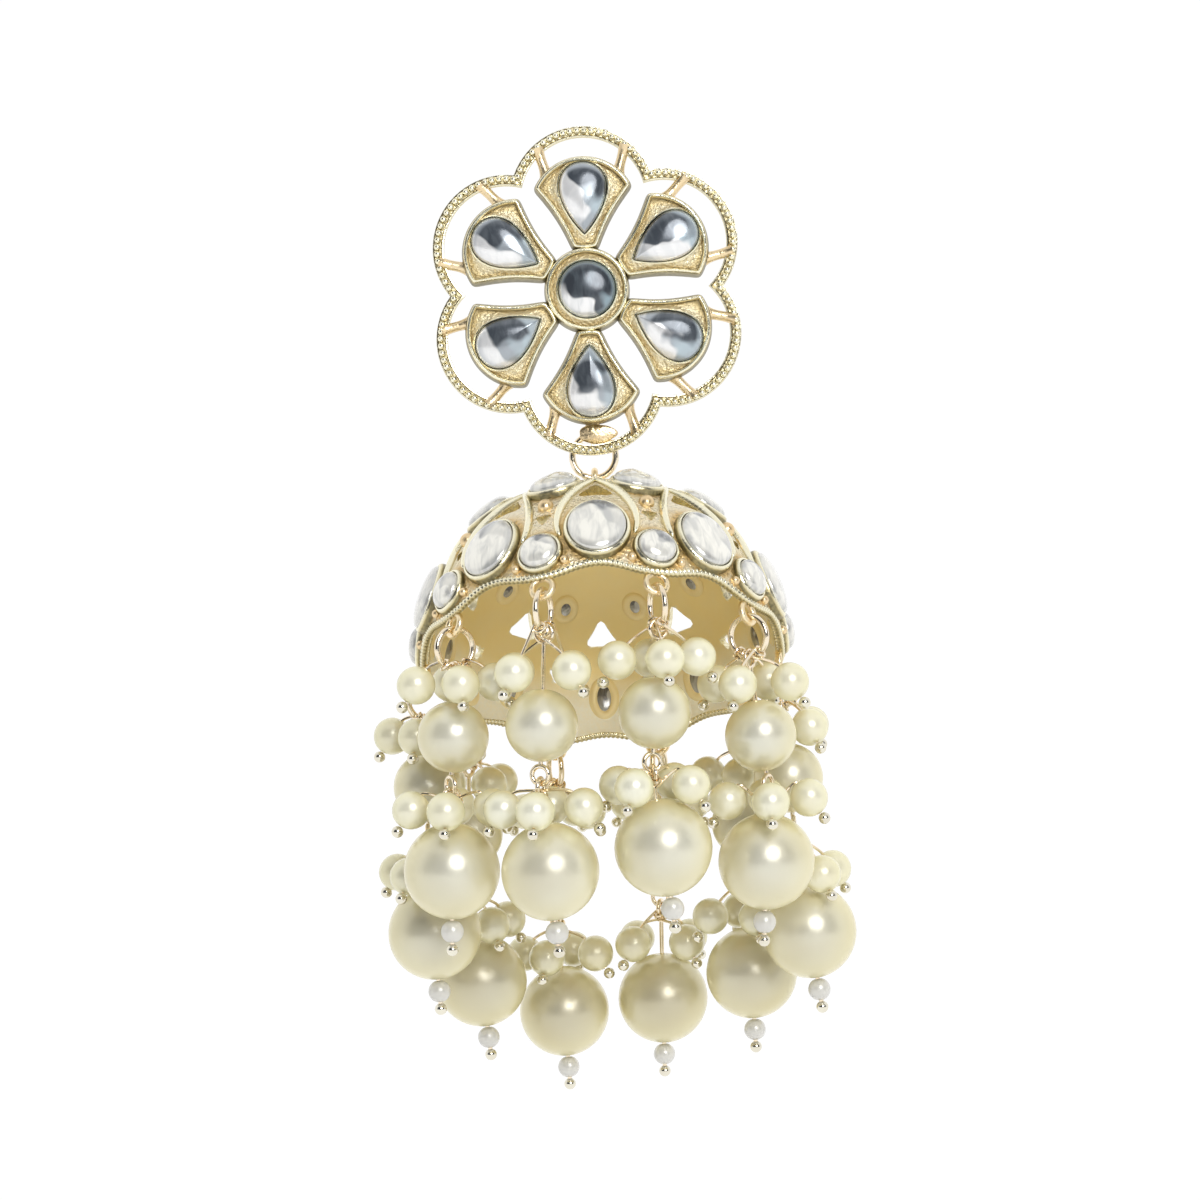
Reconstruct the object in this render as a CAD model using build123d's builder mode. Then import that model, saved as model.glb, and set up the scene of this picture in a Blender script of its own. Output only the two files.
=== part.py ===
"""Jhumka earring: a stone-set flower stud, a domed bell hung below it and ten pearl strands on its rim.

Millimetres. The origin is the middle of the flower's back, where it lies on the ear lobe. +Z is up,
the flower faces -Y, its post runs along +Y and +X is the wearer's left-to-right as seen from the front.
The bell leans back on its ring, so that its mouth opens downwards and forwards; the strands hang plumb.
"""
import os
from collections import namedtuple
from math import cos, hypot, radians, sin, sqrt

from build123d import *

# Flower: six petals round a centre, all measured in the plane of its back
PETALS = 6
LOBE_OFFSET = 9.95
LOBE_RADIUS = 8.1
RIM_WIDTH = 1.1
RIM_HEIGHT = 1.1
CUP_FLOOR = 0.9
CUP_HEIGHT = 2.4
CUP_WALL = 0.55
CUP_FOOT = 4.4
CUP_FOOT_WIDTH = 2.8
CUP_SHOULDER_WIDTH = 10.9
CUP_SHOULDER = 11.2
CUP_TIP = 14.7
CENTRE_CUP_RADIUS = 4.7
CENTRE_CUP_HEIGHT = 2.6
CENTRE_STONE_RADIUS = 3.1
BRIDGE_ANGLE = 17
BRIDGE_WIDTH = 0.75
BRIDGE_INNER = 13.4
BRIDGE_OUTER = 16.4
PEAR_WIDTH = 5.1
PEAR_LENGTH = 7.8
PEAR_MIDDLE = 10.0
STONE_HEIGHT = 2.1
STONE_EDGE = 0.9
GAP = 0.05

# Ear post
POST_RADIUS = 0.42
POST_LENGTH = 10.4
POST_TIP = 0.3

# Connector ring between the eye behind the flower and the eye on the bell's crown
RING_RADIUS = 2.375
RING_WIRE = 0.375
RING_BACK = 1.2
RING_DROP = 18.1
EYE_WIRE = 0.35
FLOWER_EYE_RADIUS = 1.2
SOLDER_WIDTH = 2.2
SOLDER_HEIGHT = 0.5
SOLDER_TOP = 14.2
SOLDER_BOTTOM = 17.4

# Bell: a round shell on a tilted axis, drawn up to a point at the crown
BELL_RADIUS = 19.3
BELL_WALL = 1.0
BELL_HEIGHT = 21.6
BELL_TILT = 30
CROWN_NECK_RADIUS = 5.6
CROWN_TIP_RADIUS = 1.1
CROWN_WAIST = 0.6
CROWN_DROP = 21.61
SCALLOPS = 10
SCALLOP_RISE = 1.0
SCALLOP_HALF = 4.8
SCALLOP_CUT = 4.0
SETTING_HEIGHT = 0.9
SETTING_ROOT = 1.6
SEAT_DEPTH = 0.75
BELL_STONE_HEIGHT = 1.4
BELL_STONE_EDGE = 0.6
OVAL_RISE = 15.3
OVAL_WIDTH = 6.0
OVAL_LENGTH = 7.2
ROUND_RISE = 7.8
ROUND_RADIUS = 2.0
CROWN_PEAR_RISE = 46.5
CROWN_PEAR_WIDTH = 5.0
CROWN_PEAR_LENGTH = 6.3
SETTING_WALL = 0.7
NODE_RISE = 29.5
NODE_RADIUS = 0.9
WINDOW_RISE = 37.0
WINDOW_SIZE = 2.3
SMALL_WINDOW_RISE = 23.0
SMALL_WINDOW_SIZE = 1.1

# Strands: rim eye, jump ring, middle pearl on an eye pin, large pearl and seed bead on a head pin
ATTACH_RADIUS = 18.7
RIM_EYE_DROP = 1.2
RIM_EYE_RADIUS = 1.1
JUMP_RADIUS = 2.1
JUMP_WIRE = 0.325
LOOP_RADIUS = 0.9
PIN_WIRE = 0.25
PIN_STEM = 0.23
MIDDLE_RADIUS = 3.72
MIDDLE_FOOT = 0.15
LARGE_RADIUS = 5.0
SEED_RADIUS = 1.2
HEAD_RADIUS = 0.65
BEAD_HOLE = 0.35
DRILL_LENGTH = 2.5
SMALL_RADIUS = 2.0
SMALL_PIN_WIRE = 0.175
SMALL_HOLE = 0.28
SMALL_HEAD_RADIUS = 0.62
SMALL_PIN_CLEARANCE = 0.12
SMALL_PIN_NECK = 0.35
SMALL_PIN_SLOPE = 55
CLUSTER_COUNT = 4
UPPER_CLUSTER_RADIUS = 4.1
UPPER_CLUSTER_LIFT = 5.5
LOWER_CLUSTER_RADIUS = 4.2
LOWER_CLUSTER_LIFT = 6.4
RING_HOOKS = (20, 42, 20, 42)
LOOP_HOOKS = (25, 65, 25, 65)

# One row per strand, each a little different because they are bent by hand. angle: place round the
# rim, from the front towards +X. middle_lean and bottom_lean: sideways lean of the two long pins, foot
# towards +X. upper_turn and lower_turn: where the first small pearl of each cluster stands, from +X
# towards the front. middle_neck and large_neck: bare pin between each pin's top loop and its pearl.
Strand = namedtuple(
    "Strand", "angle middle_lean bottom_lean upper_turn lower_turn middle_neck large_neck"
)
STRANDS = [
    Strand(-162, -2, 2, 30, 20, 3.0, 4.3),
    Strand(-126, -2, 5, 55, 60, 2.4, 3.7),
    Strand(-90, -3, 2, 15, 30, 1.9, 3.1),
    Strand(-54, -5, -2, 80, 5, 1.9, 1.4),
    Strand(-18, -4, 4, 45, 10, 4.4, 2.4),
    Strand(18, -5, 6, 80, 30, 3.6, 1.3),
    Strand(54, 6, -4, 25, 0, 3.1, 0.6),
    Strand(90, 4, 7, 50, 60, 2.6, 4.0),
    Strand(126, -2, 1, 10, 80, 2.5, 3.9),
    Strand(162, -2, -1, 30, 50, 2.5, 3.8),
]

UP = Vector(0, 0, 1)
tilt = radians(BELL_TILT)
bell_axis = Vector(0, sin(tilt), cos(tilt))
bell_front = Vector(0, -cos(tilt), sin(tilt))
bell_crown = Vector(0, RING_BACK, -CROWN_DROP)
bell_centre = bell_crown - bell_axis * BELL_HEIGHT

os.makedirs("parts", exist_ok=True)


def save(builder, name):
    """Label a finished sub-part and write its STEP file."""
    builder.part.label = name
    export_step(builder.part, f"parts/{name}.step")


def rod(start, end, radius, mode=Mode.ADD):
    """Straight round bar from start to end in the active part."""
    span = end - start
    with Locations(Plane(origin=start, z_dir=span)):
        Cylinder(radius, span.length, align=(Align.CENTER, Align.CENTER, Align.MIN), mode=mode)


def loop(centre, normal, radius, wire):
    """Closed wire ring in the active part, in the plane across normal."""
    with Locations(Plane(origin=centre, z_dir=normal)):
        Torus(radius, wire)


def ball(centre, radius):
    """Solid ball in the active part."""
    with Locations(centre):
        Sphere(radius)


def bead(centre, direction, radius, hole):
    """Ball drilled through along direction, in the active part."""
    with Locations(Plane(origin=centre, z_dir=direction)):
        Sphere(radius)
        Cylinder(hole, DRILL_LENGTH * radius, mode=Mode.SUBTRACT)


# ---------------------------------------------------------------------------------------------------
# Flower
# ---------------------------------------------------------------------------------------------------
def petal_plane(index, height=0.0):
    """Plane on the flower, its y axis along one petal, raised by height towards the front."""
    turn = radians(360 / PETALS * index)
    return Plane(origin=(0, -height, 0), x_dir=(cos(turn), 0, sin(turn)), z_dir=(0, -1, 0))


def hexafoil(lobe_radius, mode=Mode.ADD):
    """Six-lobed outline in the active sketch."""
    with PolarLocations(LOBE_OFFSET, PETALS, start_angle=90):
        Circle(lobe_radius, mode=mode)
    Circle(LOBE_OFFSET, mode=mode)


def petal_fan():
    """Fan outline of one cup in the active sketch: narrow foot, two flanks and a round outer edge."""
    foot = CUP_FOOT_WIDTH / 2
    shoulder = CUP_SHOULDER_WIDTH / 2
    with BuildLine() as outline:
        Polyline((-shoulder, CUP_SHOULDER), (-foot, CUP_FOOT), (foot, CUP_FOOT), (shoulder, CUP_SHOULDER))
        ThreePointArc((shoulder, CUP_SHOULDER), (0, CUP_TIP), (-shoulder, CUP_SHOULDER))
    make_face(outline.edges())


def pear(width, length, middle, point_up):
    """Pear outline in the active sketch: a round end, and a point on the other side along y."""
    side = 1 if point_up else -1
    radius = width / 2
    point = middle + side * length / 2
    round_centre = middle - side * (length / 2 - radius)
    reach = abs(point - round_centre)
    touch_x = radius * sqrt(1 - (radius / reach) ** 2)
    touch_y = round_centre + side * radius ** 2 / reach
    with BuildLine() as outline:
        Polyline((-touch_x, touch_y), (0, point), (touch_x, touch_y))
        ThreePointArc((touch_x, touch_y), (0, round_centre - side * radius), (-touch_x, touch_y))
    make_face(outline.edges())


flower_eye_drop = RING_DROP - RING_RADIUS - FLOWER_EYE_RADIUS + EYE_WIRE + RING_WIRE + GAP

with BuildPart() as flower_frame:
    with BuildSketch(Plane.XZ):
        hexafoil(LOBE_RADIUS)
        hexafoil(LOBE_RADIUS - RIM_WIDTH, mode=Mode.SUBTRACT)
    extrude(amount=RIM_HEIGHT)
    for index in range(PETALS):
        with BuildSketch(petal_plane(index)):
            petal_fan()
    extrude(amount=CUP_HEIGHT)
    for index in range(PETALS):
        with BuildSketch(petal_plane(index, CUP_FLOOR)):
            petal_fan()
            offset(amount=-CUP_WALL, mode=Mode.REPLACE)
    extrude(amount=CUP_HEIGHT, mode=Mode.SUBTRACT)
    with BuildSketch(Plane.XZ):
        for side in (-1, 1):
            middle = (BRIDGE_INNER + BRIDGE_OUTER) / 2
            with PolarLocations(middle, PETALS, start_angle=90 + side * BRIDGE_ANGLE):
                Rectangle(BRIDGE_OUTER - BRIDGE_INNER, BRIDGE_WIDTH)
        with Locations((0, -(SOLDER_TOP + SOLDER_BOTTOM) / 2)):
            Rectangle(SOLDER_WIDTH, SOLDER_BOTTOM - SOLDER_TOP)
    extrude(amount=SOLDER_HEIGHT)
    with BuildSketch(Plane.XZ):
        Circle(CENTRE_CUP_RADIUS)
    extrude(amount=CENTRE_CUP_HEIGHT)
    with BuildSketch(Plane.XZ.offset(CUP_FLOOR)):
        Circle(CENTRE_CUP_RADIUS - CUP_WALL)
    extrude(amount=CENTRE_CUP_HEIGHT, mode=Mode.SUBTRACT)
    loop(Vector(0, RING_BACK, -flower_eye_drop), Vector(1, 0, 0), FLOWER_EYE_RADIUS, EYE_WIRE)
save(flower_frame, "flower_frame")

with BuildPart() as centre_stone:
    with BuildSketch(Plane.XZ.offset(CUP_FLOOR + GAP)):
        Circle(CENTRE_STONE_RADIUS)
    extrude(amount=STONE_HEIGHT)
    fillet(centre_stone.faces().sort_by(Axis.Y)[0].edges(), STONE_EDGE)
save(centre_stone, "centre_stone")

for index in range(PETALS):
    with BuildPart() as petal_stone:
        with BuildSketch(petal_plane(index, CUP_FLOOR + GAP)):
            pear(PEAR_WIDTH, PEAR_LENGTH, PEAR_MIDDLE, point_up=False)
        extrude(amount=STONE_HEIGHT)
        fillet(petal_stone.faces().sort_by(Axis.Y)[0].edges(), STONE_EDGE)
    save(petal_stone, f"petal_stone_{index + 1}")

with BuildPart() as ear_post:
    with BuildSketch(Plane.XZ.offset(-GAP)):
        Circle(POST_RADIUS)
    extrude(amount=GAP - POST_LENGTH)
    chamfer(ear_post.edges().sort_by(Axis.Y)[-1], POST_TIP)
save(ear_post, "ear_post")

with BuildPart() as connector_ring:
    loop(Vector(0, RING_BACK, -RING_DROP), Vector(0, 1, 0), RING_RADIUS, RING_WIRE)
save(connector_ring, "connector_ring")


# ---------------------------------------------------------------------------------------------------
# Bell
# ---------------------------------------------------------------------------------------------------
def outward(angle):
    """Direction from the bell's axis towards one place round its rim."""
    turn = radians(angle)
    return Vector(1, 0, 0) * sin(turn) + bell_front * cos(turn)


def bell_plane(angle, rise, height):
    """Plane over the bell's skin, its z axis outwards and its y axis towards the crown."""
    lift = radians(rise)
    normal = outward(angle) * cos(lift) + bell_axis * sin(lift)
    across = bell_axis.cross(outward(angle))
    return Plane(origin=bell_centre + normal * (BELL_RADIUS + height), x_dir=across, z_dir=normal)


def bell_planes(first, rise, height=0.0):
    """The ten planes of one tier, the first at the given angle from the front."""
    return [bell_plane(first + 360 / SCALLOPS * index, rise, height) for index in range(SCALLOPS)]


def rim_eye(angle):
    """Middle of the eye below the rim that one strand hangs from."""
    return bell_centre + outward(angle) * ATTACH_RADIUS - bell_axis * RIM_EYE_DROP


def oval(margin):
    """Oval stone outline in the active sketch, widened by margin."""
    Ellipse(OVAL_WIDTH / 2 + margin, OVAL_LENGTH / 2 + margin)


def round_stone(margin):
    """Round stone outline in the active sketch, widened by margin."""
    Circle(ROUND_RADIUS + margin)


def crown_pear(margin):
    """Pear stone outline in the active sketch, its point towards the crown, widened by margin."""
    pear(CROWN_PEAR_WIDTH + 2 * margin, CROWN_PEAR_LENGTH + 2 * margin, 0, point_up=True)


Tier = namedtuple("Tier", "name outline first rise back_hole")
half_step = 180 / SCALLOPS
TIERS = [
    Tier("dome_oval_stones", oval, 0, OVAL_RISE, 1.3),
    Tier("dome_round_stones", round_stone, half_step, ROUND_RISE, 0.8),
    Tier("crown_stones", crown_pear, half_step, CROWN_PEAR_RISE, 0.8),
]
through = SETTING_HEIGHT + 2 * BELL_WALL
crown_eye_drop = RING_DROP + RING_RADIUS - RING_WIRE - GAP + RIM_EYE_RADIUS - RING_WIRE

with BuildPart() as dome:
    with BuildSketch(Plane(origin=bell_centre, x_dir=(1, 0, 0), z_dir=bell_front)):
        with BuildLine():
            neck = (CROWN_NECK_RADIUS, sqrt(BELL_RADIUS ** 2 - CROWN_NECK_RADIUS ** 2))
            tip = (CROWN_TIP_RADIUS, BELL_HEIGHT)
            waist = ((neck[0] + tip[0]) / 2 - CROWN_WAIST, (neck[1] + tip[1]) / 2 - CROWN_WAIST)
            inside = BELL_RADIUS - BELL_WALL
            diagonal = sqrt(0.5)
            ThreePointArc((BELL_RADIUS, 0), (BELL_RADIUS * diagonal, BELL_RADIUS * diagonal), neck)
            ThreePointArc(neck, waist, tip)
            Polyline(tip, (0, BELL_HEIGHT), (0, inside))
            ThreePointArc((0, inside), (inside * diagonal, inside * diagonal), (inside, 0))
            Line((inside, 0), (BELL_RADIUS, 0))
        make_face()
    revolve(axis=Axis(bell_centre, bell_axis))
    for tier in TIERS:
        for plane in bell_planes(tier.first, tier.rise, SETTING_HEIGHT):
            with BuildSketch(plane):
                tier.outline(SETTING_WALL)
        extrude(amount=-SETTING_ROOT)
    for tier in TIERS:
        for plane in bell_planes(tier.first, tier.rise, SETTING_HEIGHT):
            with BuildSketch(plane):
                tier.outline(GAP)
        extrude(amount=-SEAT_DEPTH, mode=Mode.SUBTRACT)
        for plane in bell_planes(tier.first, tier.rise, SETTING_HEIGHT):
            with BuildSketch(plane):
                Circle(tier.back_hole)
        extrude(amount=-through, mode=Mode.SUBTRACT)
    for plane in bell_planes(0, WINDOW_RISE, SETTING_HEIGHT):
        with BuildSketch(plane):
            RegularPolygon(WINDOW_SIZE, 3, rotation=90)
    for plane in bell_planes(half_step, SMALL_WINDOW_RISE, SETTING_HEIGHT):
        with BuildSketch(plane):
            RegularPolygon(SMALL_WINDOW_SIZE, 3, rotation=-90)
    extrude(amount=-through, mode=Mode.SUBTRACT)
    for index in range(SCALLOPS):
        ball(bell_plane(half_step + 360 / SCALLOPS * index, NODE_RISE, 0).origin, NODE_RADIUS)
    scallop_radius = (SCALLOP_HALF ** 2 + SCALLOP_RISE ** 2) / (2 * SCALLOP_RISE)
    for index in range(SCALLOPS):
        facing = outward(360 / SCALLOPS * index)
        below = bell_centre - bell_axis * (scallop_radius - SCALLOP_RISE)
        inner = below + facing * (BELL_RADIUS - SCALLOP_CUT)
        outer = below + facing * (BELL_RADIUS + SCALLOP_CUT)
        rod(inner, outer, scallop_radius, Mode.SUBTRACT)
    for strand in STRANDS:
        loop(rim_eye(strand.angle), outward(strand.angle), RIM_EYE_RADIUS, EYE_WIRE)
    loop(Vector(0, RING_BACK, -crown_eye_drop), Vector(1, 0, 0), RIM_EYE_RADIUS, RING_WIRE)
save(dome, "dome")

for tier in TIERS:
    with BuildPart() as stones:
        base = SETTING_HEIGHT - SEAT_DEPTH + GAP
        for plane in bell_planes(tier.first, tier.rise, base):
            with BuildSketch(plane):
                tier.outline(0)
        extrude(amount=BELL_STONE_HEIGHT)
        above = base + 2 * BELL_STONE_HEIGHT
        tops = [stones.faces().sort_by_distance(plane.origin)[0]
                for plane in bell_planes(tier.first, tier.rise, above)]
        fillet([edge for top in tops for edge in top.edges()], BELL_STONE_EDGE)
    save(stones, tier.name)


# ---------------------------------------------------------------------------------------------------
# Strands
# ---------------------------------------------------------------------------------------------------
loop_reach = LOOP_RADIUS + PIN_WIRE
loop_hang = LOOP_RADIUS - PIN_WIRE - JUMP_WIRE - GAP
link_drop = 2 * (LOOP_RADIUS - PIN_WIRE) - GAP
Places = namedtuple(
    "Places", "ring_normal ring_side ring top middle foot head large seed head_ball lean_1 lean_2"
)


def leaning(degrees):
    """Downward direction with a sideways lean, foot towards +X."""
    lean = radians(degrees)
    return Vector(sin(lean), 0, -cos(lean))


def strand_places(strand):
    """Where every ring, loop and bead of one strand hangs, from the rim eye down."""
    facing = outward(strand.angle)
    level = hypot(facing.X, facing.Y)
    side = Vector(facing.X / level, facing.Y / level, 0)
    reach = JUMP_RADIUS - JUMP_WIRE - EYE_WIRE - GAP
    hang = RIM_EYE_RADIUS * level + sqrt(reach ** 2 - (RIM_EYE_RADIUS * facing.Z) ** 2)
    ring = rim_eye(strand.angle) - UP * hang
    top = ring - UP * (JUMP_RADIUS + loop_hang)
    lean_1 = leaning(strand.middle_lean)
    lean_2 = leaning(strand.bottom_lean)
    middle = top + lean_1 * (loop_reach + strand.middle_neck + MIDDLE_RADIUS)
    foot = middle + lean_1 * (MIDDLE_RADIUS + MIDDLE_FOOT + loop_reach)
    head = foot - UP * link_drop
    large = head + lean_2 * (loop_reach + strand.large_neck + LARGE_RADIUS)
    seed = large + lean_2 * (LARGE_RADIUS + GAP + SEED_RADIUS)
    head_ball = seed + lean_2 * (SEED_RADIUS + GAP + HEAD_RADIUS)
    normal = side.cross(UP)
    return Places(normal, side, ring, top, middle, foot, head, large, seed, head_ball, lean_1, lean_2)


def cluster(centre, turn, radius):
    """Middle and pin direction of each small pearl in a level ring round one point."""
    slope = radians(SMALL_PIN_SLOPE)
    pearls = []
    for index in range(CLUSTER_COUNT):
        angle = radians(turn + 360 / CLUSTER_COUNT * index)
        away = Vector(cos(angle), -sin(angle), 0)
        pearls.append((centre + away * radius, away * cos(slope) - UP * sin(slope)))
    return pearls


def small_pin(hook, wire, pearl, direction):
    """Thin head pin in the active part: from beside a ring, bent over through the pearl, to its ball."""
    bend = pearl - direction * (SMALL_RADIUS + SMALL_PIN_NECK)
    end = pearl + direction * (SMALL_RADIUS + GAP + SMALL_HEAD_RADIUS)
    start = hook + (bend - hook).normalized() * (wire + SMALL_PIN_CLEARANCE)
    with BuildLine() as route:
        Polyline(start, bend, end)
    with BuildSketch(Plane(origin=start, z_dir=bend - start)) as section:
        Circle(SMALL_PIN_WIRE)
    sweep(section.sketch, path=route.line, transition=Transition.ROUND)
    with Locations(Plane(origin=end, z_dir=direction)):
        Sphere(SMALL_HEAD_RADIUS)


def hook_place(centre, side, radius, pearl, turn):
    """Point low on a ring or loop, turned from its foot towards the pearl, where a small pin is hooked."""
    away = side if (pearl - centre).dot(side) > 0 else -side
    angle = radians(turn)
    return centre + away * (radius * sin(angle)) - UP * (radius * cos(angle))


seed_places = []
for number, strand in enumerate(STRANDS, start=1):
    at = strand_places(strand)
    seed_places.append(at)
    upper_middle = at.middle - at.lean_1 * UPPER_CLUSTER_LIFT
    lower_middle = at.large - at.lean_2 * LOWER_CLUSTER_LIFT
    upper = cluster(upper_middle, strand.upper_turn, UPPER_CLUSTER_RADIUS)
    lower = cluster(lower_middle, strand.lower_turn, LOWER_CLUSTER_RADIUS)

    with BuildPart() as medium_pearl:
        bead(at.middle, at.lean_1, MIDDLE_RADIUS, BEAD_HOLE)
    save(medium_pearl, f"medium_pearl_{number:02d}")

    with BuildPart() as large_pearl:
        bead(at.large, at.lean_2, LARGE_RADIUS, BEAD_HOLE)
    save(large_pearl, f"large_pearl_{number:02d}")

    with BuildPart() as small_pearls:
        for pearl, direction in upper + lower:
            bead(pearl, direction, SMALL_RADIUS, SMALL_HOLE)
    save(small_pearls, f"small_pearls_{number:02d}")

    with BuildPart() as strand_wires:
        loop(at.ring, at.ring_normal, JUMP_RADIUS, JUMP_WIRE)
        for turn, (pearl, direction) in zip(RING_HOOKS, upper):
            hook = hook_place(at.ring, at.ring_side, JUMP_RADIUS, pearl, turn)
            small_pin(hook, JUMP_WIRE, pearl, direction)
        loop(at.top, at.ring_side, LOOP_RADIUS, PIN_WIRE)
        rod(at.top + at.lean_1 * LOOP_RADIUS, at.foot - at.lean_1 * LOOP_RADIUS, PIN_STEM)
        loop(at.foot, at.ring_side, LOOP_RADIUS, PIN_WIRE)
        loop(at.head, at.ring_normal, LOOP_RADIUS, PIN_WIRE)
        rod(at.head + at.lean_2 * LOOP_RADIUS, at.head_ball, PIN_STEM)
        with Locations(Plane(origin=at.head_ball, z_dir=at.lean_2)):
            Sphere(HEAD_RADIUS)
        for turn, (pearl, direction) in zip(LOOP_HOOKS, lower):
            hook = hook_place(at.head, at.ring_side, LOOP_RADIUS, pearl, turn)
            small_pin(hook, PIN_WIRE, pearl, direction)
    save(strand_wires, f"strand_wires_{number:02d}")

with BuildPart() as seed_beads:
    for at in seed_places:
        bead(at.seed, at.lean_2, SEED_RADIUS, BEAD_HOLE)
save(seed_beads, "seed_beads")
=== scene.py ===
"""Jhumka earring: the looks of the stone-set flower, the domed bell and the pearl strands, over the
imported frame.

Sizes are in millimetres until a piece is laid down, and metres after that. +Z is up and the flower
faces -Y.
"""

import bmesh
import bpy
import numpy as np
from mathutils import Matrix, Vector
from mathutils.geometry import delaunay_2d_cdt


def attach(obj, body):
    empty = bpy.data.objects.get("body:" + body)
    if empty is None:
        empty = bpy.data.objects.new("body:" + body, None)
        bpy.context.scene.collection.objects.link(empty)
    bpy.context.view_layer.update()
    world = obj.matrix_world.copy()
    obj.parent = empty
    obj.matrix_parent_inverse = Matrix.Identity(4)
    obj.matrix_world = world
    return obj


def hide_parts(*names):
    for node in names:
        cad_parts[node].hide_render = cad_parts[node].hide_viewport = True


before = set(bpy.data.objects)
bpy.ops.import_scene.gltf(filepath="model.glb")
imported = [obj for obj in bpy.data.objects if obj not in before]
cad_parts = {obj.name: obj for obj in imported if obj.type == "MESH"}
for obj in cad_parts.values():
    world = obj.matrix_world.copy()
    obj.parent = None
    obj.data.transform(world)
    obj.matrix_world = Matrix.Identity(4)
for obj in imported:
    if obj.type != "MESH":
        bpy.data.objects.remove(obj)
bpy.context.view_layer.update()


# ---------------------------------------------------------------------------------------------------
# Flower rim: the cast outer edge of the stud, in plated brass. A band runs round six lobes, with two
# low lips and a channel between them, where a row of tiny beads is cast on. Painted shade leaves the
# lips bright and darkens the channel, the band's outer side and the beads' back halves.
# ---------------------------------------------------------------------------------------------------
LOBE_OFFSET = 9.95
LOBE_TURNS = np.radians(60) * np.arange(6)
BAND_EDGE = [(6.86, 0.0), (6.86, 0.5), (6.92, 0.64), (7.05, 0.66), (7.17, 0.45), (7.9, 0.45), (7.97, 0.6),
             (8.05, 0.58), (8.1, 0.42), (8.1, 0.0), (6.86, 0.0)]
BAND_SHADE = [0.3, 0.5, 0.15, 0.1, 0.45, 0.45, 0.15, 0.15, 0.6, 0.8, 0.3]
BEADS_PER_LOBE = 24
BEAD_PLACE = (7.57, 0.7)
BEAD_RADIUS = 0.385


def six_lobes(radius, place):
    """Across and along coordinates on a lobe of the flower's outline: an arc of that radius about a
    middle 9.95 out, where place -1 and 1 are the cusps it shares with its neighbours."""
    cusp = np.sqrt(radius ** 2 - (LOBE_OFFSET / 2) ** 2) + LOBE_OFFSET * np.cos(np.radians(30))
    half = np.arctan2(cusp / 2, cusp * np.cos(np.radians(30)) - LOBE_OFFSET)
    return radius * np.sin(place * half), LOBE_OFFSET + radius * np.cos(place * half)


def round_flower(across, along, height):
    """Points of all six petals: one petal's across, along and height, turned by 60 degrees each time."""
    across, along, height = np.broadcast_arrays(across, along, height)
    turn = LOBE_TURNS.reshape((6,) + (1,) * across.ndim)
    x = across * np.cos(turn) - along * np.sin(turn)
    z = across * np.sin(turn) + along * np.cos(turn)
    return np.stack([x, np.broadcast_to(-height, x.shape), z], axis=-1)


def along_lobes(profile, steps=28):
    """Surface of a closed (lobe radius, height) profile carried round the six lobes."""
    profile = np.asarray(profile, float)
    place = np.linspace(-1, 1, steps)[:, None]
    across, along = six_lobes(profile[None, :, 0], place)
    return round_flower(across, along, profile[None, :, 1])


def balls(centres, radii, rows=8, columns=12):
    """Balls: centre + radius (sin t cos a, cos t, sin t sin a), t from pole to pole and a once round."""
    t = np.linspace(0, np.pi, rows + 1)[:, None]
    a = np.linspace(0, 2 * np.pi, columns + 1)[None, :]
    skin = np.stack([np.sin(t) * np.cos(a), np.cos(t) + 0 * a, np.sin(t) * np.sin(a)], axis=-1)
    centres = np.asarray(centres, float).reshape(-1, 1, 1, 3)
    return centres + np.asarray(radii, float).reshape(-1, 1, 1, 1) * skin


def lay(name, surfaces, materials, body, stands_for=(), crease=38):
    """Joins grids of points into one object in metres. A surface is a dict: points shaped
    (..., rows, columns, 3), or points with their own faces; material; painted_shading, the share of
    painted shade from 0 on top to 1 in a corner, and on the bell's inside the share of painted light;
    place, three numbers a point for patterns. Seams and poles are welded, faces turned out."""
    points, faces, indices, painted_shading, place = [], [], [], [], []
    count = 0
    for surface in surfaces:
        grid = surface["points"]
        if "faces" in surface:
            sides = surface["faces"]
        else:
            rows, columns = grid.shape[-3:-1]
            corner = np.arange(rows * columns).reshape(rows, columns)
            quad = np.stack([corner[:-1, :-1], corner[1:, :-1], corner[1:, 1:], corner[:-1, 1:]], axis=-1)
            copies = rows * columns * np.arange(grid.size // (3 * rows * columns))
            sides = (quad.reshape(1, -1, 4) + copies[:, None, None]).reshape(-1, 4)
        flat = grid.reshape(-1, 3)
        points.append(flat)
        faces.extend((sides + count).tolist())
        indices.append(np.full(len(sides), surface.get("material", 0)))
        painted_shading.append(np.broadcast_to(surface.get("painted_shading", 0.0), grid.shape[:-1]).reshape(-1))
        place.append(np.broadcast_to(surface.get("place", (0.0, 0.0, 0.0)), grid.shape).reshape(-1, 3))
        count += len(flat)
    mesh = bpy.data.meshes.new(name)
    mesh.from_pydata((np.concatenate(points) * 0.001).tolist(), [], faces)
    # Painted shade and light: each point's share of the plating's shade colour.
    depth = mesh.attributes.new("painted_shading", "FLOAT", "POINT")
    depth.data.foreach_set("value", np.concatenate(painted_shading))
    pattern = mesh.attributes.new("place", "FLOAT_VECTOR", "POINT")
    pattern.data.foreach_set("vector", np.concatenate(place).ravel())
    mesh.polygons.foreach_set("material_index", np.concatenate(indices).astype(np.int32))
    shape = bmesh.new()
    shape.from_mesh(mesh)
    bmesh.ops.remove_doubles(shape, verts=shape.verts, dist=1e-6)
    bmesh.ops.recalc_face_normals(shape, faces=shape.faces)
    shape.to_mesh(mesh)
    shape.free()
    mesh.shade_smooth()
    mesh.set_sharp_from_angle(angle=np.radians(crease))
    piece = bpy.data.objects.new(name, mesh)
    bpy.context.scene.collection.objects.link(piece)
    for material in materials:
        mesh.materials.append(material)
    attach(piece, body)
    if stands_for:
        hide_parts(*stands_for)
    return piece


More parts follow.
